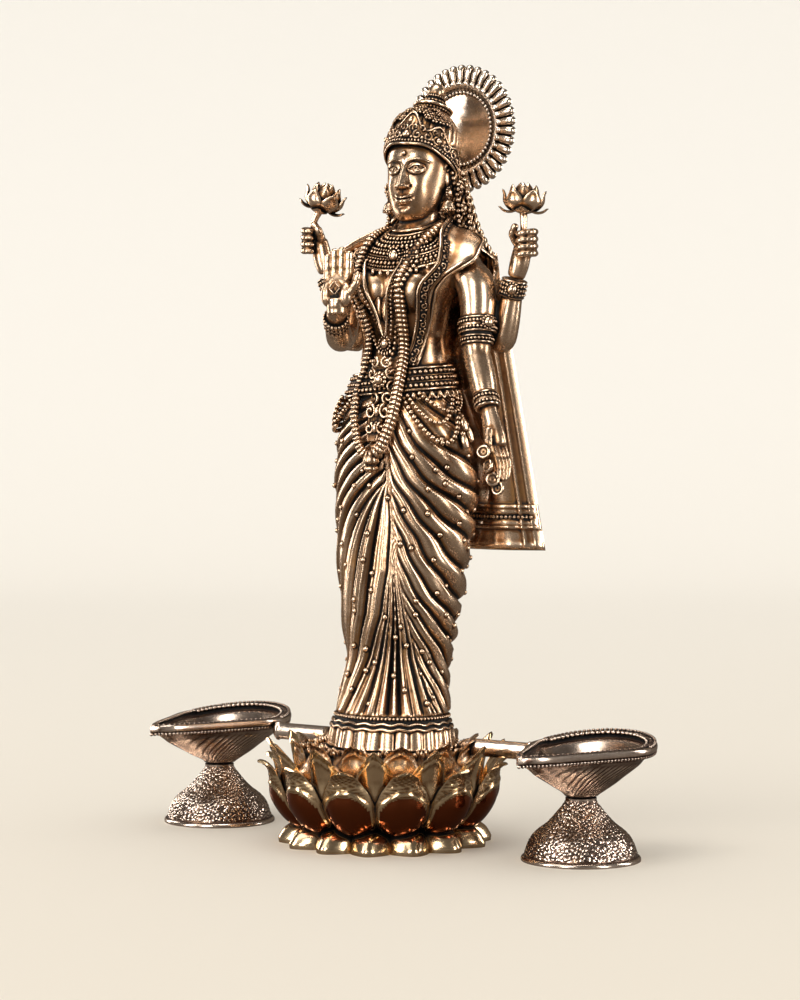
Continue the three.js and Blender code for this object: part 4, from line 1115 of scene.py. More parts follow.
def crown():
    bm = bmesh.new()
    profile = smooth_profile([(0, -1.5), (14.6, -1.5), (15.5, 2), (15.4, 7), (14.2, 11.5), (11.6, 15.8),
                              (8.6, 18.8), (7.4, 20.0), (8.9, 21.2), (9.0, 22.1), (6.6, 23.0), (4.8, 23.8),
                              (4.4, 25.0), (3.6, 26.2), (3.9, 27.6), (4.1, 29.4), (3.5, 31.4), (2.0, 33.2),
                              (0, 34)], 90)

    def flutes(turn, v):
        height = rows_at(profile, v)[1]
        part = step(3, 6, height) * (1 - step(17, 19, height))
        return part * (0.75 * np.abs(np.sin(12 * turn)) ** 0.6 - 0.6)

    lathe(bm, profile, 216, flutes)
    for radius, z, size in ((5.4, 24.0, 0.8), (7.9, 20.0, 0.7), (4.3, 26.6, 0.5)):
        beads(bm, level_ring(radius, z, 80), size * 2.05, size)

    def low(angle):
        return -2.4 - 3.4 * (1 - np.cos(np.radians(angle))) + 0.9 * line_at(np.abs(angle) - 34, 22)

    def high(angle):
        off = np.abs(angle)
        points = 10.5 * line_at(off, 19) + 6.2 * line_at(off - 50, 15) + 3 * line_at(off - 88, 13)
        return low(angle) + 5.2 + points

    def band_radius(foot, z):
        """The band leans in with the crown as it rises."""
        return foot - 0.02 * np.clip(z, 0, 20) ** 1.6

    def band(u, v):
        angle = (u - 0.5) * 250
        turn = 2 * np.pi * v
        rise = 0.5 - 0.5 * np.cos(turn)
        z = low(angle) + (high(angle) - low(angle)) * rise
        thick = 0.9 * np.sin(turn) * (1 - np.abs(2 * u - 1) ** 12)
        return ring_on_head(angle, band_radius(15.9, z) + thick, z)

    lay_grid(bm, 200, 24, band)

    def degrees_along(across):
        return across / 17.3 * 57.3

    def on_band(pairs):
        return ring_on_head(degrees_along(pairs[:, 0]), band_radius(16.8, pairs[:, 1]), pairs[:, 1])

    edge = np.linspace(-112, 112, 150)
    cord_line(bm, ring_on_head(edge, 16.1, low(edge) + 0.3), 0.6)
    beads(bm, ring_on_head(edge, 16.6, low(edge) + 1.6), 1.5, 0.66)
    rim_z = high(edge)
    cord_line(bm, ring_on_head(edge, band_radius(16.5, rim_z), rim_z - 0.3), 0.55)
    for k in range(-6, 7):
        across, hand = k * 4.9, 1 if k % 2 else -1
        foot = float(low(degrees_along(across)))
        head_room = float(high(degrees_along(across))) - foot
        cord_line(bm, on_band(spiral((across, foot + 4.2), 2.1, 1.35, math.pi / 2, hand)), 0.5)
        ball(bm, on_band(np.array([[across + 2.45, foot + 3.2]]))[0], 0.75, 8, 5)
        if head_room > 8:
            for side in (1, -1):
                scroll = spiral((across + side * 1.7, foot + 7.8), 1.5, 1.2, -math.pi / 2, side * hand)
                cord_line(bm, on_band(scroll), 0.45)
        if head_room > 12:
            ball(bm, on_band(np.array([[across, foot + 11.5]]))[0], (0.9, 0.9, 1.4), 10, 6)
    for middle, level, size in ((0, 1.9, 1.7), (50, 1.4, 1.3), (-50, 1.4, 1.3)):
        ball(bm, ring_on_head(middle, 17.0, level), size, 14, 10)
    blossom_rows = ((11.6, 15.2, -128, 62, 17), (14.4, 13.3, -124, 46, 14), (17.0, 10.6, -122, 38, 11))
    for height, radius, start, stop, count in blossom_rows:
        for k in range(count):
            angle = start + (stop - start) * k / (count - 1)
            if abs(angle) < 20 and height < 13:
                continue
            spot = Vector(ring_on_head(angle, radius / 1.02, height + 0.5 * math.cos(k * 2.4)))
            turn = turned(angle, "Z") @ turned(-(height - 8) * 6, "X")
            ball(bm, spot, (0.95, 1.1, 0.95), 10, 6)
            for petal in np.linspace(0, 2 * math.pi, 7)[:-1]:
                way = turn @ Vector((1.35 * math.cos(petal), -0.2, 1.35 * math.sin(petal)))
                ball(bm, spot + way, (0.6, 0.7, 0.6), 7, 5)
    tilted = turned(4, "Y") @ Matrix.Scale(0.98, 4) @ turned(-19, "X")
    set_by(bm, HEAD_PLACE @ Matrix.Translation((0.6, 1.2, 10.6)) @ tilted)

    earrings = bmesh.new()
    bell = smooth_profile([(0, 3.6), (0.8, 3.2), (1.0, 1.8), (2.2, 0.6), (2.9, -1.4), (3.1, -2.4),
                           (0, -2.6)], 24)
    for side in (1, -1):
        drop = bmesh.new()
        lathe(drop, bell, 24, lambda turn, v: 0.15 * np.abs(np.sin(8 * turn)))
        beads(drop, level_ring(2.9, -2.8, 40), 1.15, 0.55)
        add(earrings, drop, Matrix.Translation((side * 14.0, -1.4, -11.2)))
        ball(earrings, (side * 14.4, -1.2, -6.6), (1.5, 1.9, 1.9), 14, 10)
        turn = np.linspace(0, 2 * np.pi, 14)
        beads(earrings, stack(side * 14.4, -1.2 + 2.2 * np.sin(turn), -6.6 + 2.2 * np.cos(turn)), 1.1, 0.5)
    set_by(earrings, HEAD_PLACE)
    add(bm, earrings)
    cast_figure("crown_and_earrings", bm)


def hair():
    bm = bmesh.new()

    def locks(u, v):
        wave = np.abs(np.sin(11 * 2 * np.pi * u + 9 * v + 1.6 * np.sin(26 * v)))
        fine = np.sin(150 * v + 44 * np.pi * u) * np.sin(19 * 2 * np.pi * u)
        return (1.0 * wave ** 0.7 + 0.35 * fine - 0.5) * (0.3 + 0.7 * step(0.05, 0.3, v))

    tube(bm, [(0, 8, 12, 10), (0, 9.5, 5, 12.6), (0, 11, -4, 12.0), (-0.5, 12, -14, 13.0),
              (-1, 12, -26, 15.5), (-1.4, 11, -36, 19), (-1.6, 9, -40, 20)], 100, 160, relief=locks)

    def plait(line, count):
        """Two strands twisted round each other."""
        path = route(line, count)
        along, side, up = frames(path)
        turn = np.arange(count + 1) * 0.55
        for start in (0, np.pi):
            wide = path[:, 3:] * 0.55
            round_it = (turn + start)[:, None]
            spots = path[:, :3] + side * (wide * np.cos(round_it)) + up * (wide * np.sin(round_it))
            tube(bm, np.column_stack([spots, path[:, 3] * 0.72]), count * 2, 8)

    for side in (1, -1):
        for k in range(5):
            plait([(side * (13.2 + 0.3 * k), 2.5 + 1.8 * k, 3 - 0.5 * k, 0.9),
                   (side * (14.6 + 0.7 * k), 3.5 + 2.1 * k, -7, 1.15),
                   (side * (15.2 + 1.2 * k), 4.0 + 2.3 * k, -18, 1.25),
                   (side * (18 + 1.6 * k), 3.2 + 2.7 * k, -28, 1.3),
                   (side * (20.5 + 2.2 * k), 1.8 + 3.1 * k, -35, 1.1)], 60)
        row = [(side * 14.8, 0.8, 2), (side * 16.6, 2.5, -8), (side * 17.2, 2.6, -18),
               (side * 19.4, 1.0, -27), (side * 22, -1.2, -34)]
        beads(bm, row, 2.3, 1.05)
        beads(bm, [(x + side * 2.4, y + 5.5, z) for x, y, z in row], 2.6, 1.15)
        for k in range(3):
            spot = Vector((side * (17.2 + 0.6 * k), 3.4 + 2.4 * k, -4 - 9 * k))
            ball(bm, spot, 1.7, 12, 8)
            for petal in np.linspace(0, 2 * math.pi, 8)[:-1]:
                ball(bm, spot + Vector((side * 0.4, 2.3 * math.cos(petal), 2.3 * math.sin(petal))), 0.8, 8, 5)
    set_by(bm, HEAD_PLACE)
    cast_figure("hair", bm)


# Dress above the belt, and what hangs from it

EDGE_STEPS = 110  # along a border of the shawl


def shawl():
    bm = bmesh.new()

    def wrap(u, v):
        """The back of the shawl; u runs from its left edge round the back to its right one."""
        top = 240 - 3.0 * np.sin(np.pi * u)
        t = np.clip(np.where(v < 0.5, v * 2, 2 - 2 * v) * 1.04 - 0.02, 0, 1)
        around = 90 + 180 * u
        over_left, over_right = line_at(around - 102, 20), line_at(around - 258, 22)
        back = line_at(around - 180, 42)
        z = top + (212 + 5 * over_left + 7 * over_right - 20 * back - top) * t
        left = np.interp(z, (212, 222, 234, 241), (118, 116, 112, 112))
        right = 360 - np.interp(z, (212, 222, 234, 241), (106, 102, 102, 108))
        angle = left + (right - left) * u
        pleats = 0.75 * np.sin(around * 0.42 + 1.2 * t) + 0.45 * np.sin(around * 0.83 + 1)
        fall = step(0, 0.25, t)
        over_arm = (over_left * (3.4 * step(0.1, 0.6, t) + 4.0 * t ** 2)
                    + over_right * (2.2 * step(0.1, 0.6, t) + 3.0 * t ** 2))
        thick = 1.4 * np.where(v < 0.5, 1, 0) * np.sqrt(np.clip(1 - (2 * u - 1) ** 20, 0, 1)) * (t > 0)
        return on_body(angle, z, 1.2 + pleats * fall * 0.8 + thick + over_arm + 2.2 * (1 - t) ** 2)

    lay_grid(bm, 260, 70, wrap)

    def edge_line(spots):
        """A smooth line over the body through angles, heights and distances from it."""
        angles, heights, out = np.array(spots, float).T
        return route(on_body(angles, heights, out).tolist(), EDGE_STEPS)

    def away_from_body(spots, rise):
        x, y, _, _ = body_at(spots[:, 2])
        outward = np.column_stack([spots[:, 0] - x, spots[:, 1] - y, rise + 0 * x])
        return outward / np.linalg.norm(outward, axis=1)[:, None]

    def border(line, width):
        """A worked border band down the front of the shawl, with scrolls between its cords."""
        along = frames(line)[0]
        outward = away_from_body(line, 0)
        across = np.cross(along, outward)
        across /= np.linalg.norm(across, axis=1)[:, None]
        outward = np.cross(across, along)

        def strip(u, v):
            i = np.rint(v * EDGE_STEPS).astype(int)
            turn = 2 * np.pi * u
            half = width / 2 * np.cos(turn) * (1 - np.abs(2 * v - 1) ** 30)
            return line[i] + across[i] * half[:, None] + outward[i] * (0.9 * np.sin(turn) - 0.2)[:, None]

        lay_grid(bm, 20, EDGE_STEPS, strip)
        for k, thick in ((1, 0.62), (-1, 0.62), (0.74, 0.34), (-0.74, 0.34)):
            cord_line(bm, line + across * (width / 2 * k) + outward * (0.45 if abs(k) == 1 else 0.75), thick)
        length = np.linalg.norm(np.diff(line, axis=0), axis=1).sum()
        count = int(length / 4.0)
        for k in range(count):
            i = int((k + 0.5) / count * EDGE_STEPS)
            hand = 1 if k % 2 else -1
            flat = spiral((0, 0), width * 0.27, 1.3, math.pi / 2 * hand, hand, 12)
            cord_line(bm, line[i] + flat[:, :1] * across[i] + flat[:, 1:] * along[i] + outward[i] * 0.95, 0.4)
            spot = line[i] + along[i] * 2.0 + outward[i] * 0.9
            ball(bm, spot + across[i] * 1.2 * hand, 0.6, 8, 5)
            ball(bm, spot - across[i] * 0.9 * hand, 0.45, 8, 5)

    inner = edge_line([(130, 236, 2), (106, 235.5, 2.8), (82, 233.8, 3.6), (62, 230, 4.0), (48, 223, 4),
                       (43, 215, 4), (42, 206, 4.4), (46, 198, 3.8), (47, 190, 2.6), (43, 181, 2.2),
                       (34, 172, 2.4)])
    outer = edge_line([(132, 233, 6), (112, 232, 9), (94, 228, 13), (80, 223.5, 10), (66, 218, 6),
                       (57, 212, 4.2), (55, 206, 4.4), (58, 199, 3.8), (58, 191, 2.6), (52, 182, 2.2),
                       (42, 173, 2.4)])
    right = edge_line([(-125, 236, 4), (-100, 231, 5), (-80, 226, 5), (-62, 221, 4), (-54, 214, 4.2),
                       (-52, 206, 4.4), (-52, 197, 3.0), (-44, 184, 2), (-34, 172, 2)])

    def panel(u, v):
        """The cloth over the figure's left shoulder, from its inner to its outer edge."""
        i = np.rint(v * EDGE_STEPS).astype(int)
        turn = 2 * np.pi * u
        share = (0.5 - 0.5 * np.cos(turn))[:, None]
        spot = inner[i] * (1 - share) + outer[i] * share
        half = 0.9 * np.sin(turn) * (1 - np.abs(2 * v - 1) ** 30)
        fold = 0.5 * np.sin(share[:, 0] * 9 + v * 5) * np.abs(np.sin(turn))
        return spot + away_from_body(spot, 6) * (half + fold - 0.4)[:, None]

    lay_grid(bm, 32, EDGE_STEPS, panel)
    cord_line(bm, outer, 0.8)
    border(inner, 5.6)
    border(right, 5.2)
    cast_figure("shawl", bm)


def cloth_end():
    bm = bmesh.new()

    def closing(share, sharpness):
        """1 along the middle, with a round drop to 0 at both ends."""
        return np.sqrt(np.clip(1 - np.abs(2 * share - 1) ** sharpness, 0, 1))

    def at(across, fall, face):
        """A point on the cloth's back face, where face is 1, or on its front face at -1."""
        z = 222 + (88 - 222) * fall
        x = (41 + 14 * fall) * (1 - across) + (-18 + 2 * fall) * across
        x0, y0, wide, deep = body_at(np.minimum(z, 214))
        wrap = np.sqrt(np.clip(1 - ((x - x0) / (wide + 9)) ** 2, 0, 1))
        hang = 27 + 14 * fall + 0.36 * np.clip(x - 34, 0, None)
        around_body = y0 + (deep + 7.5) * wrap
        y = np.maximum(hang, around_body) + 1.5 * line_at(hang - around_body, 4)
        folds = 0.8 * np.sin(across * 19 + 1.5 * fall) + 0.3 * np.sin(across * 43 + 2)
        folds *= 0.25 + 0.55 * fall
        hem = line_at(fall - 0.985, 0.012) * 0.6
        lines = 0.7 * sum(line_at(fall - level, 0.0035) for level in (0.852, 0.868, 0.905, 0.921))
        edge = 0.75 * sum(line_at(across - spot, 0.012) for spot in (0.035, 0.10, 0.90, 0.965))
        band = step(0.845, 0.85, fall) * (1 - step(0.923, 0.928, fall)) * 0.35
        half = 1.1 * closing(across, 24) * closing(fall, 60)
        return stack(x, y - 1.2 + folds + face * (half + (hem + lines + edge + band) * (half > 0.4)), z)

    def sheet(u, v):
        return at(1 - np.abs(1 - 2 * u), v, np.where(u < 0.5, 1, -1))

    lay_grid(bm, 190, 140, sheet)
    for face in (1, -1):
        beads(bm, at(np.linspace(0.04, 0.96, 60), 0.8865, face), 2.0, 0.85)
    cast_figure("cloth_end", bm)


GARLAND = [  # over the left shoulder, down the front, round its lowest point and up to the right shoulder
    (13, 28, 234), (19, 15, 233), (15.5, 6.5, 226), (12.2, 2.8, 219), (11.4, -3.6, 211), (11.4, -5.0, 204),
    (11.3, -3.0, 192), (11.4, -1.4, 179), (12.6, -7.0, 164), (11.8, -10.6, 150), (9.6, -12.6, 141),
    (6.6, -14.2, 134.2), (1.6, -14.8, 131.6), (-3.4, -14.2, 134.4), (-7.2, -12.4, 141.5), (-9.8, -10.0, 150),
    (-10.8, -5.0, 162), (-9.0, -3.2, 170), (-8.3, -0.8, 183), (-10.5, -2.0, 196), (-14.0, -2.8, 206),
    (-14.1, 1.4, 219.5), (-11.1, 4, 228.5), (-10, 14, 233), (-6, 28, 234)]


def garland():
    bm = bmesh.new()

    def curled(co):
        co.z += 0.28 * co.x ** 2 - 0.1

    leaf = small(0.62, 12, 6, curled)
    set_along(bm, GARLAND, 2.15, leaf, 2.75, grow=lambda t: 1 - 0.3 * step(0.46, 0.56, t))
    cord_line(bm, GARLAND, 1.5, 8)
    tassel = bmesh.new()
    bud = smooth_profile([(0, 3.4), (2.2, 3.0), (3.2, 1.4), (3.3, -0.4), (2.2, -1.8), (2.7, -2.6),
                          (2.8, -3.8), (1.5, -5.0), (0, -5.4)], 40)
    lathe(tassel, bud, 40, lambda turn, v: 0.25 * np.abs(np.sin(8 * turn)))
    add(bm, tassel, Matrix.Translation((2.6, -14.4, 129)))
    cast_figure("garland", bm)


def necklaces():
    bm = bmesh.new()

    def ring_row(t, out):
        """The line of one row of the broad collar; t runs from its upper rim at 0 to its lower rim at 1."""
        angle = np.linspace(-104, 112, 90)
        drop = np.clip((np.cos(np.radians(angle - 5)) + 0.3) / 1.3, 0, 1) ** 1.35
        z = 236.5 - (5.5 + 16.5 * t) * drop
        return on_flesh(angle, z, out + 1.8 * t * drop)

    for t, thick in ((-0.06, 0.85), (0.07, 0.6), (0.66, 0.45), (1.03, 0.6)):
        cord_line(bm, ring_row(t, 1.0), thick)
    for k, t in enumerate((0.16, 0.27, 0.38, 0.49, 0.58, 0.74, 0.84, 0.94)):
        beads(bm, ring_row(t, 0.9), (2.0, 1.6, 2.3, 1.5)[k % 4], (0.95, 0.72, 1.08, 0.68)[k % 4])
    for spot in ring_row(1.12, 1.0)[8:-8:3]:
        ball(bm, spot, (0.85, 0.8, 1.35), 8, 6)
    jewel = ring_row(0.62, 1.9)[44]
    ball(bm, jewel, (2.3, 1.5, 2.6), 16, 10)
    beads(bm, upright_ring(jewel + (0, 0.3, 0), 3.2, 3.6, 24), 1.5, 0.62)

    def strand(left, right, top, bottom, out, spacing, size, power=2.2):
        """A hanging strand of beads, or a plain cord where spacing is 0; gives back its lowest point."""
        t = np.linspace(-1, 1, 90)
        angles = np.where(t < 0, -t * right, t * left)
        z = bottom + (top - bottom) * np.abs(t) ** power
        reach = out + 4.6 * line_at(z - 206, 9) * line_at(np.abs(angles) - 32, 24)
        path = on_body(angles, z, reach)
        if spacing:
            beads(bm, path, spacing, size)
        else:
            cord_line(bm, path, size)
        return path[45]

    strand(22, -52, 222, 172, 2.6, 2.5, 1.05, 3.4)
    strand(14, -40, 224, 178, 2.2, 2.0, 0.8, 3.0)
    strand(12, -28, 222, 186, 2.4, 1.8, 0.7)
    low = strand(10, -20, 220, 184, 2.8, 0, 0.75, 1.6)
    for side in (1, -1):
        ball(bm, low + (-1.5 + side * 2.2, -0.3, 13), (2.3, 1.4, 6.0), 18, 12)
    ball(bm, low + (0, -0.6, -2.6), (2.0, 1.4, 2.2), 16, 10)
    beads(bm, upright_ring(low + (0, -0.5, -2.6), 2.9, 3.1, 24), 1.4, 0.55)
    for k in (-2, -1, 0, 1, 2):
        ball(bm, low + (k * 1.5, -0.3, -7.2 + 0.4 * abs(k)), (0.62, 0.6, 1.3), 8, 6)
    cast_figure("necklaces", bm)


BELT_HEIGHT = 164.8


def belt():
    bm = bmesh.new()

    def slope(angle):
        return 2.2 * np.sin(np.radians(angle - 20))

    def on_belt(angle, level, out):
        return on_body(angle, BELT_HEIGHT + level + slope(angle), out)

    def band(u, v):
        turn = 2 * np.pi * v
        return on_belt(360 * u, 5.4 * np.cos(turn), 1.3 + 1.1 * np.sin(turn))

    lay_grid(bm, 180, 16, band)
    angle = np.linspace(0, 360, 200)
    for level, size in ((4.7, 0.55), (1.2, 0.35), (-1.4, 0.35), (-4.9, 0.6)):
        cord_line(bm, on_belt(angle, level, 2.3), size)
    for level, size, spacing in ((2.9, 1.05, 2.4), (-0.1, 0.95, 2.1), (-3.1, 1.05, 2.4)):
        beads(bm, on_belt(angle, level, 2.5), spacing, size)
    loops = np.linspace(40, 150, 12)
    for k, start in enumerate(loops[:-1]):
        t = np.linspace(0, 1, 14)
        span = start + (loops[1] - loops[0]) * t
        cord_line(bm, on_belt(span, -5.8 - 3.4 * np.sin(np.pi * t), 2.6), 0.5)
        ball(bm, on_belt(start, -7.6, 2.8), (0.9, 0.9, 1.5), 8, 6)

    def hip_chain(first, last, top, sag, size):
        t = np.linspace(0, 1, 40)
        hang = np.sin(np.pi * t)
        beads(bm, on_body(first + (last - first) * t, top - sag * hang, 3.0 + hang), size * 2.1, size)

    hip_chain(34, 88, 158, 12, 1.05)
    hip_chain(30, 96, 157, 20, 1.2)
    hip_chain(46, 112, 159, 8, 1.0)
    hip_chain(-98, -30, 156, 12, 1.0)
    for row in range(7):
        span = np.linspace(-96 + 1.5 * row, -56 + 1.2 * row, 30)
        z = 157.5 - 2.3 * row - 1.6 * np.cos((span + 76) / 13)
        beads(bm, on_body(span, z, 3.2 + 1.7 * np.sin(np.pi * (row + 1) / 8)), 2.3, 1.1)
    for angle_at, height, long in ((92, 149, 7), (98, 145, 8), (86, 141, 7)):
        top = on_body(angle_at, height, 3.6)
        foot = on_body(angle_at, height - long, 3.8)
        tube(bm, [(*top, 1.0), (*((top + foot) / 2), 1.7), (*foot, 1.2)], 12, 12,
             relief=lambda u, v: 0.2 * np.sin(2 * np.pi * u * 6))
        ball(bm, top, 1.3, 10, 6)

    centre = np.array([3.2, -8.4, 165.2])
    for spot in upright_ring(centre + (0, -0.2, 0), 2.7, 2.7, 11)[:-1]:
        ball(bm, spot, (1.05, 1.0, 1.05), 10, 6)
    ball(bm, centre + (0, -0.7, 0), (2.2, 1.9, 2.2), 20, 12)
    for side in (1, -1):
        for start, size, lift, hand in ((5.6, 3.0, 2.8, 1), (6.0, 2.8, -2.6, -1), (3.2, 2.6, 7.6, 1),
                                        (3.8, 2.8, -8.0, -1)):
            x, z = spiral((side * start, lift), size, 1.4, math.pi / 2 * hand, side * hand, 20).T
            cord_line(bm, centre + stack(x, 0.06 * x ** 2, z), 0.72)
    for level, wide, deep in ((151.0, 4.0, -10.0), (143.5, 3.2, -11.8)):
        for side in (1, -1):
            x, z = spiral((side * wide, 0), wide * 0.72, 1.4, math.pi / 2, side, 20).T
            cord_line(bm, stack(3 + x, deep, level + z * 1.2), 0.74)
        ball(bm, (3, deep - 0.3, level), (1.3, 1.2, 2.2), 12, 8)
        beads(bm, [(3 + side * 5.4, deep + 0.9, level + 2.4) for side in (-1, 1)], 10.8, 0.9)
    for k in range(9):
        x = -1.6 + 0.95 * k
        tube(bm, [(x, -9.0, 151, 0.55), (x * 0.8, -11, 144, 0.6), (x * 0.55 + 0.4, -12.4, 137, 0.55)], 14, 7)
    cast_figure("belt_and_apron", bm)


def bracelets():
    bm = bmesh.new()

    def cuff(centre, direction, radius, half, jewel=None):
        """A cuff of two rolled edges with bead rows between them; jewel is the angle of its ornament."""
        part = bmesh.new()
        outline = [(radius * 0.8, -half), (radius + 0.2, -half), (radius + 0.7, -half + 0.6),
                   (radius + 0.2, -half + 1.3), (radius + 0.1, half - 1.3), (radius + 0.7, half - 0.6),
                   (radius + 0.2, half), (radius * 0.8, half)]
        profile = smooth_profile(outline, 40)
        lathe(part, np.vstack([profile, profile[:1]]), 44)
        for z in np.linspace(-half + 2.0, half - 2.0, max(1, round((half * 2 - 3) / 1.8))):
            beads(part, level_ring(radius + 0.4, z, 60), 1.65, 0.72)
        if jewel is not None:
            place = Matrix.Rotation(jewel, 4, "Z") @ Matrix.Translation((0, -radius - 0.9, 0.3))
            ball(part, place.translation, (2.1, 2.1, 2.3), 16, 10)
            surround = bmesh.new()
            beads(surround, upright_ring((0, 0, 0), 2.7, 2.8, 18), 1.3, 0.55)
            add(part, surround, place)
        turn = Vector((0, 0, 1)).rotation_difference(Vector(direction).normalized())
        add(bm, part, Matrix.Translation(centre) @ turn.to_matrix().to_4x4())

    cuff((40.4, 14.2, 189), (-1, 1.2, 9), 7.9, 3.4, 1.15)
    cuff((41.0, 13.0, 182.6), (-1, 1.2, 9), 6.7, 2.0)
    cuff((50.8, 5.8, 155.5), (-4, 3, 10), 5.0, 3.4)
    for k in range(3):
        cuff((-17.6 - 1.25 * k, -13.4 + 2.0 * k, 192.2 - 1.35 * k), (6, -8.5, 6), 4.9, 0.75)
    cuff((52.6, 24.4, 206), (3, -0.7, 10), 5.2, 4.0, 0.5)
    cuff((-48.0, 24.3, 210.5), (-5, -0.7, 12), 5.1, 3.0)
    cast_figure("bracelets", bm)


# Painted shade and patina in the hollows, and rubbed edges: hollows and edges measured on the finished meshes

def read_all(items, field, width, kind="f"):
    """The values of one field of all items, one row for each."""
    values = np.empty(len(items) * width, kind)
    items.foreach_get(field, values)
    return values.reshape(-1, width)


def mark_hollow_patina_and_shade(reach=0.0038, rays=6):
    """Writes how enclosed each vertex is, which the aged metal paints as shade and patina, and how sharp an
    edge it sits on, for the aged metal to use.
    """
    verts, faces, start = [], [], 0
    for piece in pieces:
        mesh = piece.data
        mesh.calc_loop_triangles()
        verts.extend(read_all(mesh.vertices, "co", 3).tolist())
        faces.extend((read_all(mesh.loop_triangles, "vertices", 3, "i") + start).tolist())
        start += len(mesh.vertices)
    tree = BVHTree.FromPolygons(verts, faces, all_triangles=True)
    turns = np.arange(rays - 1) * 2 * math.pi / (rays - 1)
    ring = [(0, 0, 1)] + [(0.78 * math.cos(turn), 0.78 * math.sin(turn), 0.62) for turn in turns]
    for piece in pieces:
        mesh = piece.data
        count = len(mesh.vertices)
        co = read_all(mesh.vertices, "co", 3).astype(float)
        normal = read_all(mesh.vertices, "normal", 3).astype(float)
        edges = read_all(mesh.edges, "vertices", 2, "i")
        side = np.cross(normal, np.where(np.abs(normal[:, 2:]) < 0.9, (0.0, 0.0, 1.0), (0.0, 1.0, 0.0)))
        side /= np.maximum(np.linalg.norm(side, axis=1), 1e-9)[:, None]
        up = np.cross(normal, side)
        closed = np.zeros(count)
        origins = co + normal * 0.00012
        for a, b, c in ring:
            directions = side * a + up * b + normal * c
            for i, (origin, direction) in enumerate(zip(origins.tolist(), directions.tolist())):
                far = tree.ray_cast(origin, direction, reach)[3]
                if far is not None:
                    closed[i] += 1 - far / reach
        closed /= len(ring)
        near = np.zeros(count)
        np.add.at(near, edges[:, 0], 1)
        np.add.at(near, edges[:, 1], 1)

        def averaged(values):
            total = np.zeros_like(values)
            np.add.at(total, edges[:, 0], values[edges[:, 1]])
            np.add.at(total, edges[:, 1], values[edges[:, 0]])
            return total / (near if values.ndim == 1 else near[:, None])

        flat = co
        for _ in range(4):
            flat = 0.5 * flat + 0.5 * averaged(flat)
        bend = ((co - flat) * normal).sum(1) * 1000
        closed = 0.4 * closed + 0.6 * averaged(closed)
        # Painted shade with patina: ray-cast occlusion and concave bends become darkness in the colour.
        hollow_patina_and_shade = np.clip(closed * 2.3 + np.clip(-bend * 3.5, 0, 0.5), 0, 1)
        edge = np.clip(bend * 4.5, 0, 1)
        for name, values in (("hollow_patina_and_shade", hollow_patina_and_shade), ("edge", edge)):
            layer = mesh.attributes.new(name, "FLOAT", "POINT")
            layer.data.foreach_set("value", values.astype("f"))


# Camera, floor and light

def backdrop_point(u, v):
    """A floor that runs back from the camera and curves up into a wall, in metres."""
    way = Vector((VIEW_X, VIEW_Y, 0)).normalized()
    across = Vector((way.y, -way.x, 0))
    far, bend = 1.6, 0.9
    run = v * (4.0 + far + bend * math.pi / 2 + 3.0) - 4.0
    angle = np.clip((run - far) / bend, 0, math.pi / 2)
    forward = np.minimum(run, far) + bend * np.sin(angle)
    height = bend * (1 - np.cos(angle)) + np.maximum(run - far - bend * math.pi / 2, 0)
    wide = (u - 0.5) * 10
    return stack(way.x * forward + across.x * wide, way.y * forward + across.y * wide, height)


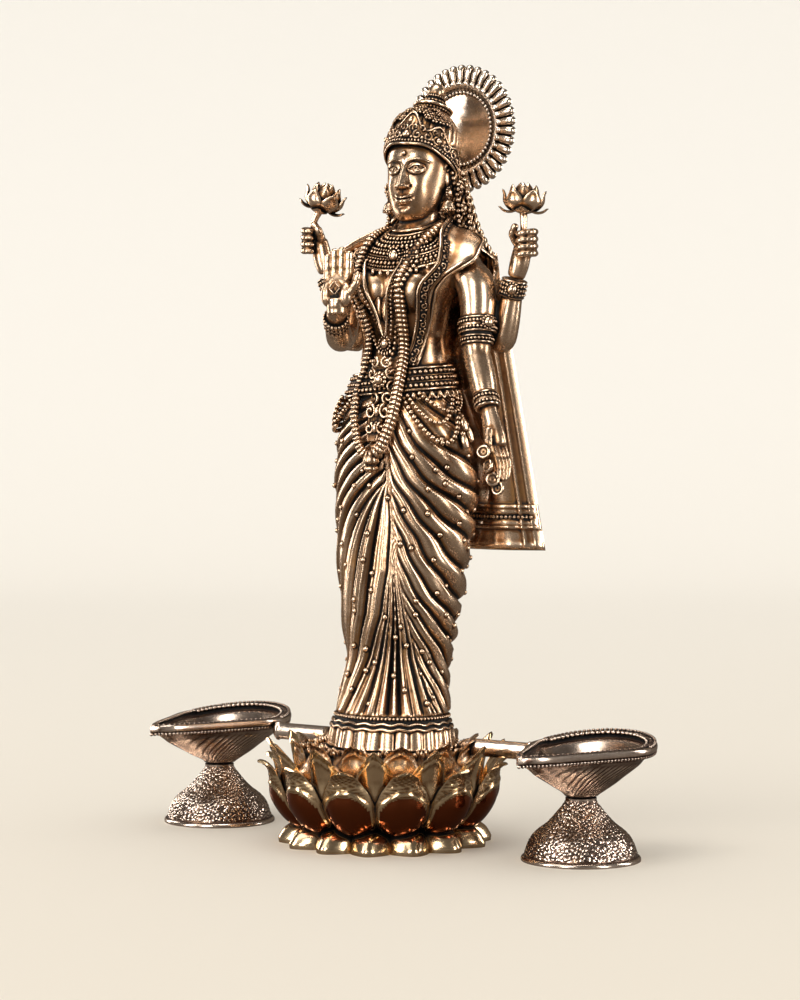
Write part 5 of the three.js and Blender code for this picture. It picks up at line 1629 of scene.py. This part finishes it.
def studio():
    camera_data = bpy.data.cameras.new("camera")
    camera_data.lens = CAMERA_LENS
    camera = bpy.data.objects.new("camera", camera_data)
    camera.location = CAMERA_PLACE
    camera.rotation_euler = Vector(CAMERA_WAY).to_track_quat("-Z", "Y").to_euler()
    bpy.context.collection.objects.link(camera)
    bpy.context.scene.camera = camera

    backdrop = bmesh.new()
    lay_grid(backdrop, 1, 80, backdrop_point)
    mesh = bpy.data.meshes.new("backdrop")
    backdrop.to_mesh(mesh)
    backdrop.free()
    mesh.shade_smooth()
    paint = bpy.data.materials.new("pale_floor")
    paint.use_nodes = True
    nodes, links = paint.node_tree.nodes, paint.node_tree.links
    # Painted shade: the floor is painted darker and warmer near the camera and paler away from it and up the
    # wall, to even out its lighting; rays reflected off the metal see it near-black, a painted dark
    # reflection.
    run = add_node(nodes, "VectorMath", {1: (VIEW_X, VIEW_Y, 0.9)}, operation="DOT_PRODUCT")
    away = add_node(nodes, "MapRange", {"From Min": -0.7, "From Max": 3.6})
    pale = add_node(nodes, "Mix", {6: (0.83, 0.765, 0.655, 1), 7: (0.96, 0.955, 0.93, 1)}, data_type="RGBA")
    tones = add_node(nodes, "Mix", {7: (0.11, 0.085, 0.065, 1)}, data_type="RGBA")
    links.new(add_node(nodes, "TexCoord").outputs["Object"], run.inputs[0])
    links.new(run.outputs["Value"], away.inputs["Value"])
    links.new(away.outputs[0], pale.inputs[0])
    links.new(add_node(nodes, "LightPath").outputs["Is Glossy Ray"], tones.inputs[0])
    links.new(pale.outputs[2], tones.inputs[6])
    shader = nodes["Principled BSDF"]
    links.new(tones.outputs[2], shader.inputs["Base Color"])
    shader.inputs["Roughness"].default_value = 0.8
    mesh.materials.append(paint)
    ground = bpy.data.objects.new("backdrop", mesh)
    bpy.context.collection.objects.link(ground)

    world = bpy.data.worlds.new("studio")
    bpy.context.scene.world = world
    world.use_nodes = True
    nodes, links = world.node_tree.nodes, world.node_tree.links
    soft = add_node(nodes, "Background", {"Color": (1.0, 0.97, 0.93, 1), "Strength": 0.94})
    dim = add_node(nodes, "Background", {"Color": (1.0, 0.9, 0.82, 1), "Strength": 0.095})
    mix = add_node(nodes, "MixShader")
    links.new(add_node(nodes, "LightPath").outputs["Is Glossy Ray"], mix.inputs[0])
    links.new(soft.outputs[0], mix.inputs[1])
    links.new(dim.outputs[0], mix.inputs[2])
    links.new(mix.outputs[0], nodes["World Output"].inputs["Surface"])

    def light(name, kind, where, aim, strength, color=(1, 0.96, 0.9)):
        data = bpy.data.lights.new(name, kind)
        data.energy = strength
        data.color = color
        made = bpy.data.objects.new(name, data)
        made.location = where
        made.rotation_euler = (Vector(aim) - Vector(where)).to_track_quat("-Z", "Y").to_euler()
        bpy.context.collection.objects.link(made)
        made.visible_diffuse = kind == "SUN"
        return data

    aim = (0, 0, 0.17)
    light("daylight", "SUN", (-0.3, -0.9, 1.5), aim, 0.55).angle = math.radians(35)
    for name, where, size, power in (
        ("left_panel", (-0.62, -1.0, 0.4), (0.26, 0.8), 5.6),
        ("far_left_panel", (-1.15, 0.1, 0.4), (0.25, 0.8), 4.6),
        ("right_panel", (1.2, -0.25, 0.4), (0.24, 0.8), 6.0),
        ("back_right_panel", (0.95, 0.75, 0.45), (0.22, 0.9), 5.4),
        ("front_panel", (0.3, -1.45, 0.8), (0.35, 0.4), 4.6),
        ("centre_panel", (0.1, -1.35, 0.3), (0.26, 0.7), 3.4),
        ("top_panel", (0.0, -0.1, 1.2), (0.5, 0.4), 5.0),
    ):
        panel = light(name, "AREA", where, aim, power)
        panel.shape = "RECTANGLE"
        panel.size, panel.size_y = size
    bpy.context.scene.view_settings.view_transform = "Standard"


lotus_base()
for hand in (1, -1):
    lamp_bowl(hand)
    lamp_foot(hand)
halo()
skirt()
for make in (figure_body, hands, flowers, head, crown, hair, shawl, cloth_end, garland, necklaces, belt,
             bracelets):
    make()
mark_hollow_patina_and_shade()
studio()
